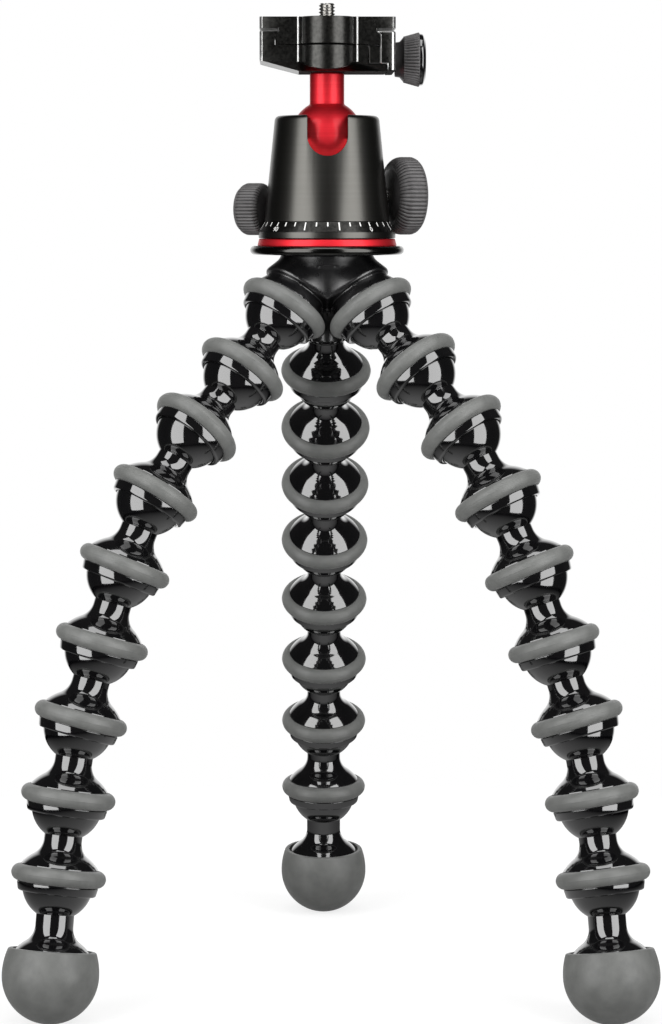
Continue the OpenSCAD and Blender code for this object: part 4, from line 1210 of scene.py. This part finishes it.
# %% Clamp knob
CLAMP_KNOB_X = 26.3 * MM
GRIP_LOW_R, GRIP_HIGH_R, CONE_R = 6.6 * MM, 8.9 * MM, 10.5 * MM
RIBS_FROM, RIBS_TO = 3.4 * MM, 9.2 * MM
CAP_LOW_R, CAP_HIGH_R, CAP_END = 10.1 * MM, 7.6 * MM, 11.9 * MM
CAP_GAP = 0.25 * MM
CLAMP_RIBS = 48
CONE_STEPS = 10
cap_low = RIBS_TO + CAP_GAP
knob_rows = [(0, 0, 0), (0, GRIP_LOW_R, 0), (0.55 * RIBS_FROM, GRIP_LOW_R + 0.3 * MM, 0),
             (RIBS_FROM - 0.2 * MM, GRIP_HIGH_R - 0.4 * MM, 0)]
for k in range(CONE_STEPS + 1):
    t = k / CONE_STEPS
    fade = min(1, 4 * t + 0.3, 6 * (1 - t) + 0.2)
    knob_rows.append((RIBS_FROM + (RIBS_TO - RIBS_FROM) * t, GRIP_HIGH_R + (CONE_R - GRIP_HIGH_R) * t,
                      RIB_DEPTH * fade))
knob_rows += [(cap_low, CONE_R - 0.15 * MM, 0), (cap_low, 0, 0)]
# Its groove floors take the same painted shade finish.
clamp_knob = ribbed("clamp_grip", knob_rows, CLAMP_RIBS, [KNOB_GRIP, KNOB_SHADE])
paint(clamp_knob, KNOB_BACK, lambda middle, normal: middle.z < RIBS_FROM)
screw_axis = Vector((CLAMP_KNOB_X, 0, joint_place("clamp_knob_turn").z))
dress(place(clamp_knob, screw_axis, (1, 0, 0)), "clamp_knob", "knob_grip", "clamp_knob")
cap_outline = rounded([(0, cap_low, 0), (CAP_LOW_R, cap_low, 0.2 * MM),
                       (CAP_LOW_R - 0.2 * MM, CAP_END - 1.0 * MM, 0.8 * MM), (CAP_HIGH_R, CAP_END, 0.8 * MM),
                       (0, CAP_END, 0)])
cap = lathe("clamp_cap", cap_outline, GLOSS_BLACK)
dress(place(cap, screw_axis, (1, 0, 0)), "clamp_knob", "gloss_black", "clamp_knob_cap")
print("clamp knob", len(clamp_knob.data.vertices), "vertices")

# %% [markdown]
# The plate is made like the clamp. Its ribbed rubber pad lies in a shallow recess, and the ribs are part of
# the outline that is drawn along the plate.

# %% Plate and pad
FLANGE_H = 4.4 * MM
PAD_W, PAD_L, PAD_H, PAD_PROUD = 22.0 * MM, 17.0 * MM, 1.0 * MM, 0.2 * MM
PAD_HOLE_R = 5.0 * MM
PAD_RIBS = 22
PAD_RIB_DEPTH = 0.35 * MM
PAD_EDGE = 0.3 * MM
neck = DOVETAIL_W - DOVETAIL_LIP
right_side = [(DOVETAIL_W, plate_low), (DOVETAIL_W, lip_low), (neck, jaw_top), (neck, plate_top - FLANGE_H),
              (CLAMP_W, plate_top - FLANGE_H), (CLAMP_W, plate_top)]
plate_outline = right_side + [(-x, z) for x, z in reversed(right_side)]
plate = trim_corners(bar("plate", plate_outline, -CLAMP_L, CLAMP_L, BLACK_ANODISED), plate_low, plate_top)
beads(plate, plate_low, plate_top)
for boss in bosses(plate_low + BOSS_GAP, plate_top):
    combine(plate, boss, "UNION")
# The bevels take the bright edge finish, which is a painted highlight.
bare(break_edges(plate, EDGE_W, EDGE_HIGHLIGHT))
pad_low, pad_top = plate_top + PAD_PROUD - PAD_H, plate_top + PAD_PROUD
recess = [(-PAD_W, pad_low), (PAD_W, pad_low), (PAD_W, pad_top + PAD_H), (-PAD_W, pad_top + PAD_H)]
combine(plate, bar("recess", recess, -PAD_L, PAD_L, BLACK_ANODISED), "DIFFERENCE")
dress(on_head(plate), "plate", "black_anodised", "quick_release_plate")

rib_pitch = 2 * (PAD_W - PAD_EDGE) / PAD_RIBS
pad_outline = [(-PAD_W + GRIP_GAP, pad_low), (PAD_W - GRIP_GAP, pad_low), (PAD_W - GRIP_GAP, pad_top)]
for k in range(PAD_RIBS):
    x = PAD_W - PAD_EDGE - k * rib_pitch
    pad_outline += [(x - 0.65 * rib_pitch, pad_top), (x - 0.72 * rib_pitch, pad_top - PAD_RIB_DEPTH),
                    (x - 0.93 * rib_pitch, pad_top - PAD_RIB_DEPTH), (x - rib_pitch, pad_top)]
pad_outline.append((-PAD_W + GRIP_GAP, pad_top))
pad = bar("pad", pad_outline, -PAD_L + GRIP_GAP, PAD_L - GRIP_GAP, PAD_RUBBER)
combine(pad, drum("pad_hole", PAD_HOLE_R, pad_low - PAD_H, pad_top + PAD_H, 0, 0, PAD_RUBBER), "DIFFERENCE")
dress(on_head(pad), "plate", "pad_rubber", "plate_pad")
print("plate", len(plate.data.polygons), "pad", len(pad.data.polygons), "faces")

# %% [markdown]
# The camera screw has a real quarter-inch thread: one ridge climbs round it, twenty turns to the inch.
# Its radius is a wave of the height minus the turn, which gives a true helix on an ordinary grid.

# %% Camera screw
SCREW_R, SCREW_NECK_R = 3.175 * MM, 2.6 * MM
THREAD_PITCH, THREAD_DEPTH = 1.27 * MM, 0.65 * MM
HEAD_R, HEAD_H = 8.0 * MM, 2.4 * MM
TIP_CHAMFER = 0.6 * MM
ROWS_PER_TURN, SPOKES = 14, 56
screw_reach = height_of("camera_screw", True) - pad_top


def thread(name, material):
    rows = round(screw_reach / THREAD_PITCH * ROWS_PER_TURN)
    verts = [(0, 0, 0)]
    for k in range(rows + 1):
        z = screw_reach * k / rows
        for i in range(SPOKES):
            turn = i / SPOKES
            wave = abs(2 * ((z / THREAD_PITCH - turn) % 1.0) - 1)
            ridge = min(1.0, max(0.0, (wave - 0.1) / 0.75))
            r = min(SCREW_R - THREAD_DEPTH * ridge, SCREW_R - TIP_CHAMFER + (screw_reach - z))
            verts.append((r * math.cos(2 * math.pi * turn), r * math.sin(2 * math.pi * turn), z))
    tip = len(verts)
    verts.append((0, 0, screw_reach))
    rings = [[0]] + [range(first, first + SPOKES) for first in range(1, tip, SPOKES)] + [[tip]]
    faces = [face for low, high in zip(rings, rings[1:]) for face in band(low, high, SPOKES)]
    return mesh_piece(name, verts, faces, [material], sharp=math.radians(40))


screw = on_head(thread("screw_thread", STEEL), pad_top)
dress(screw, "camera_screw", "steel", "camera_screw")
head_low = plate_low + SLIDE_GAP
head_top = head_low + HEAD_H
shank_outline = rounded([(0, head_low, 0), (HEAD_R, head_low, 0.4 * MM), (HEAD_R, head_top, 0.3 * MM),
                         (SCREW_NECK_R, head_top, 0), (SCREW_NECK_R, pad_top, 0), (0, pad_top, 0)])
dress(on_head(lathe("screw_head", shank_outline, STEEL)), "camera_screw", "steel", "camera_screw")
print("thread turns", round(screw_reach / THREAD_PITCH, 1))

# %% [markdown]
# What is left are the solids inside the head and the clamp. They are hidden or nearly so, and keep their
# own meshes, but each still gets the finish of its real material.

# %% Inner pieces
INNER = {STEEL: ("head_stud", "main_lock_screw", "pan_lock_screw", "platform_screw", "guide_pins",
                 "clamp_screw"),
         ACETAL: ("bearing_washer", "ball_seat"),
         BRASS: ("lock_plunger", "pan_brake_shoe"),
         GUNMETAL: ("brake_drum", "closing_plug")}
for material, nodes in INNER.items():
    for node in nodes:
        solid = frame["nodes"][node]
        solid.data.materials.clear()
        solid.data.materials.append(material)
print("inner pieces", sum(len(nodes) for nodes in INNER.values()))

# %% [markdown]
# The last cell measures the box round the dressed model.

# %% Sizes and finish
low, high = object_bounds()
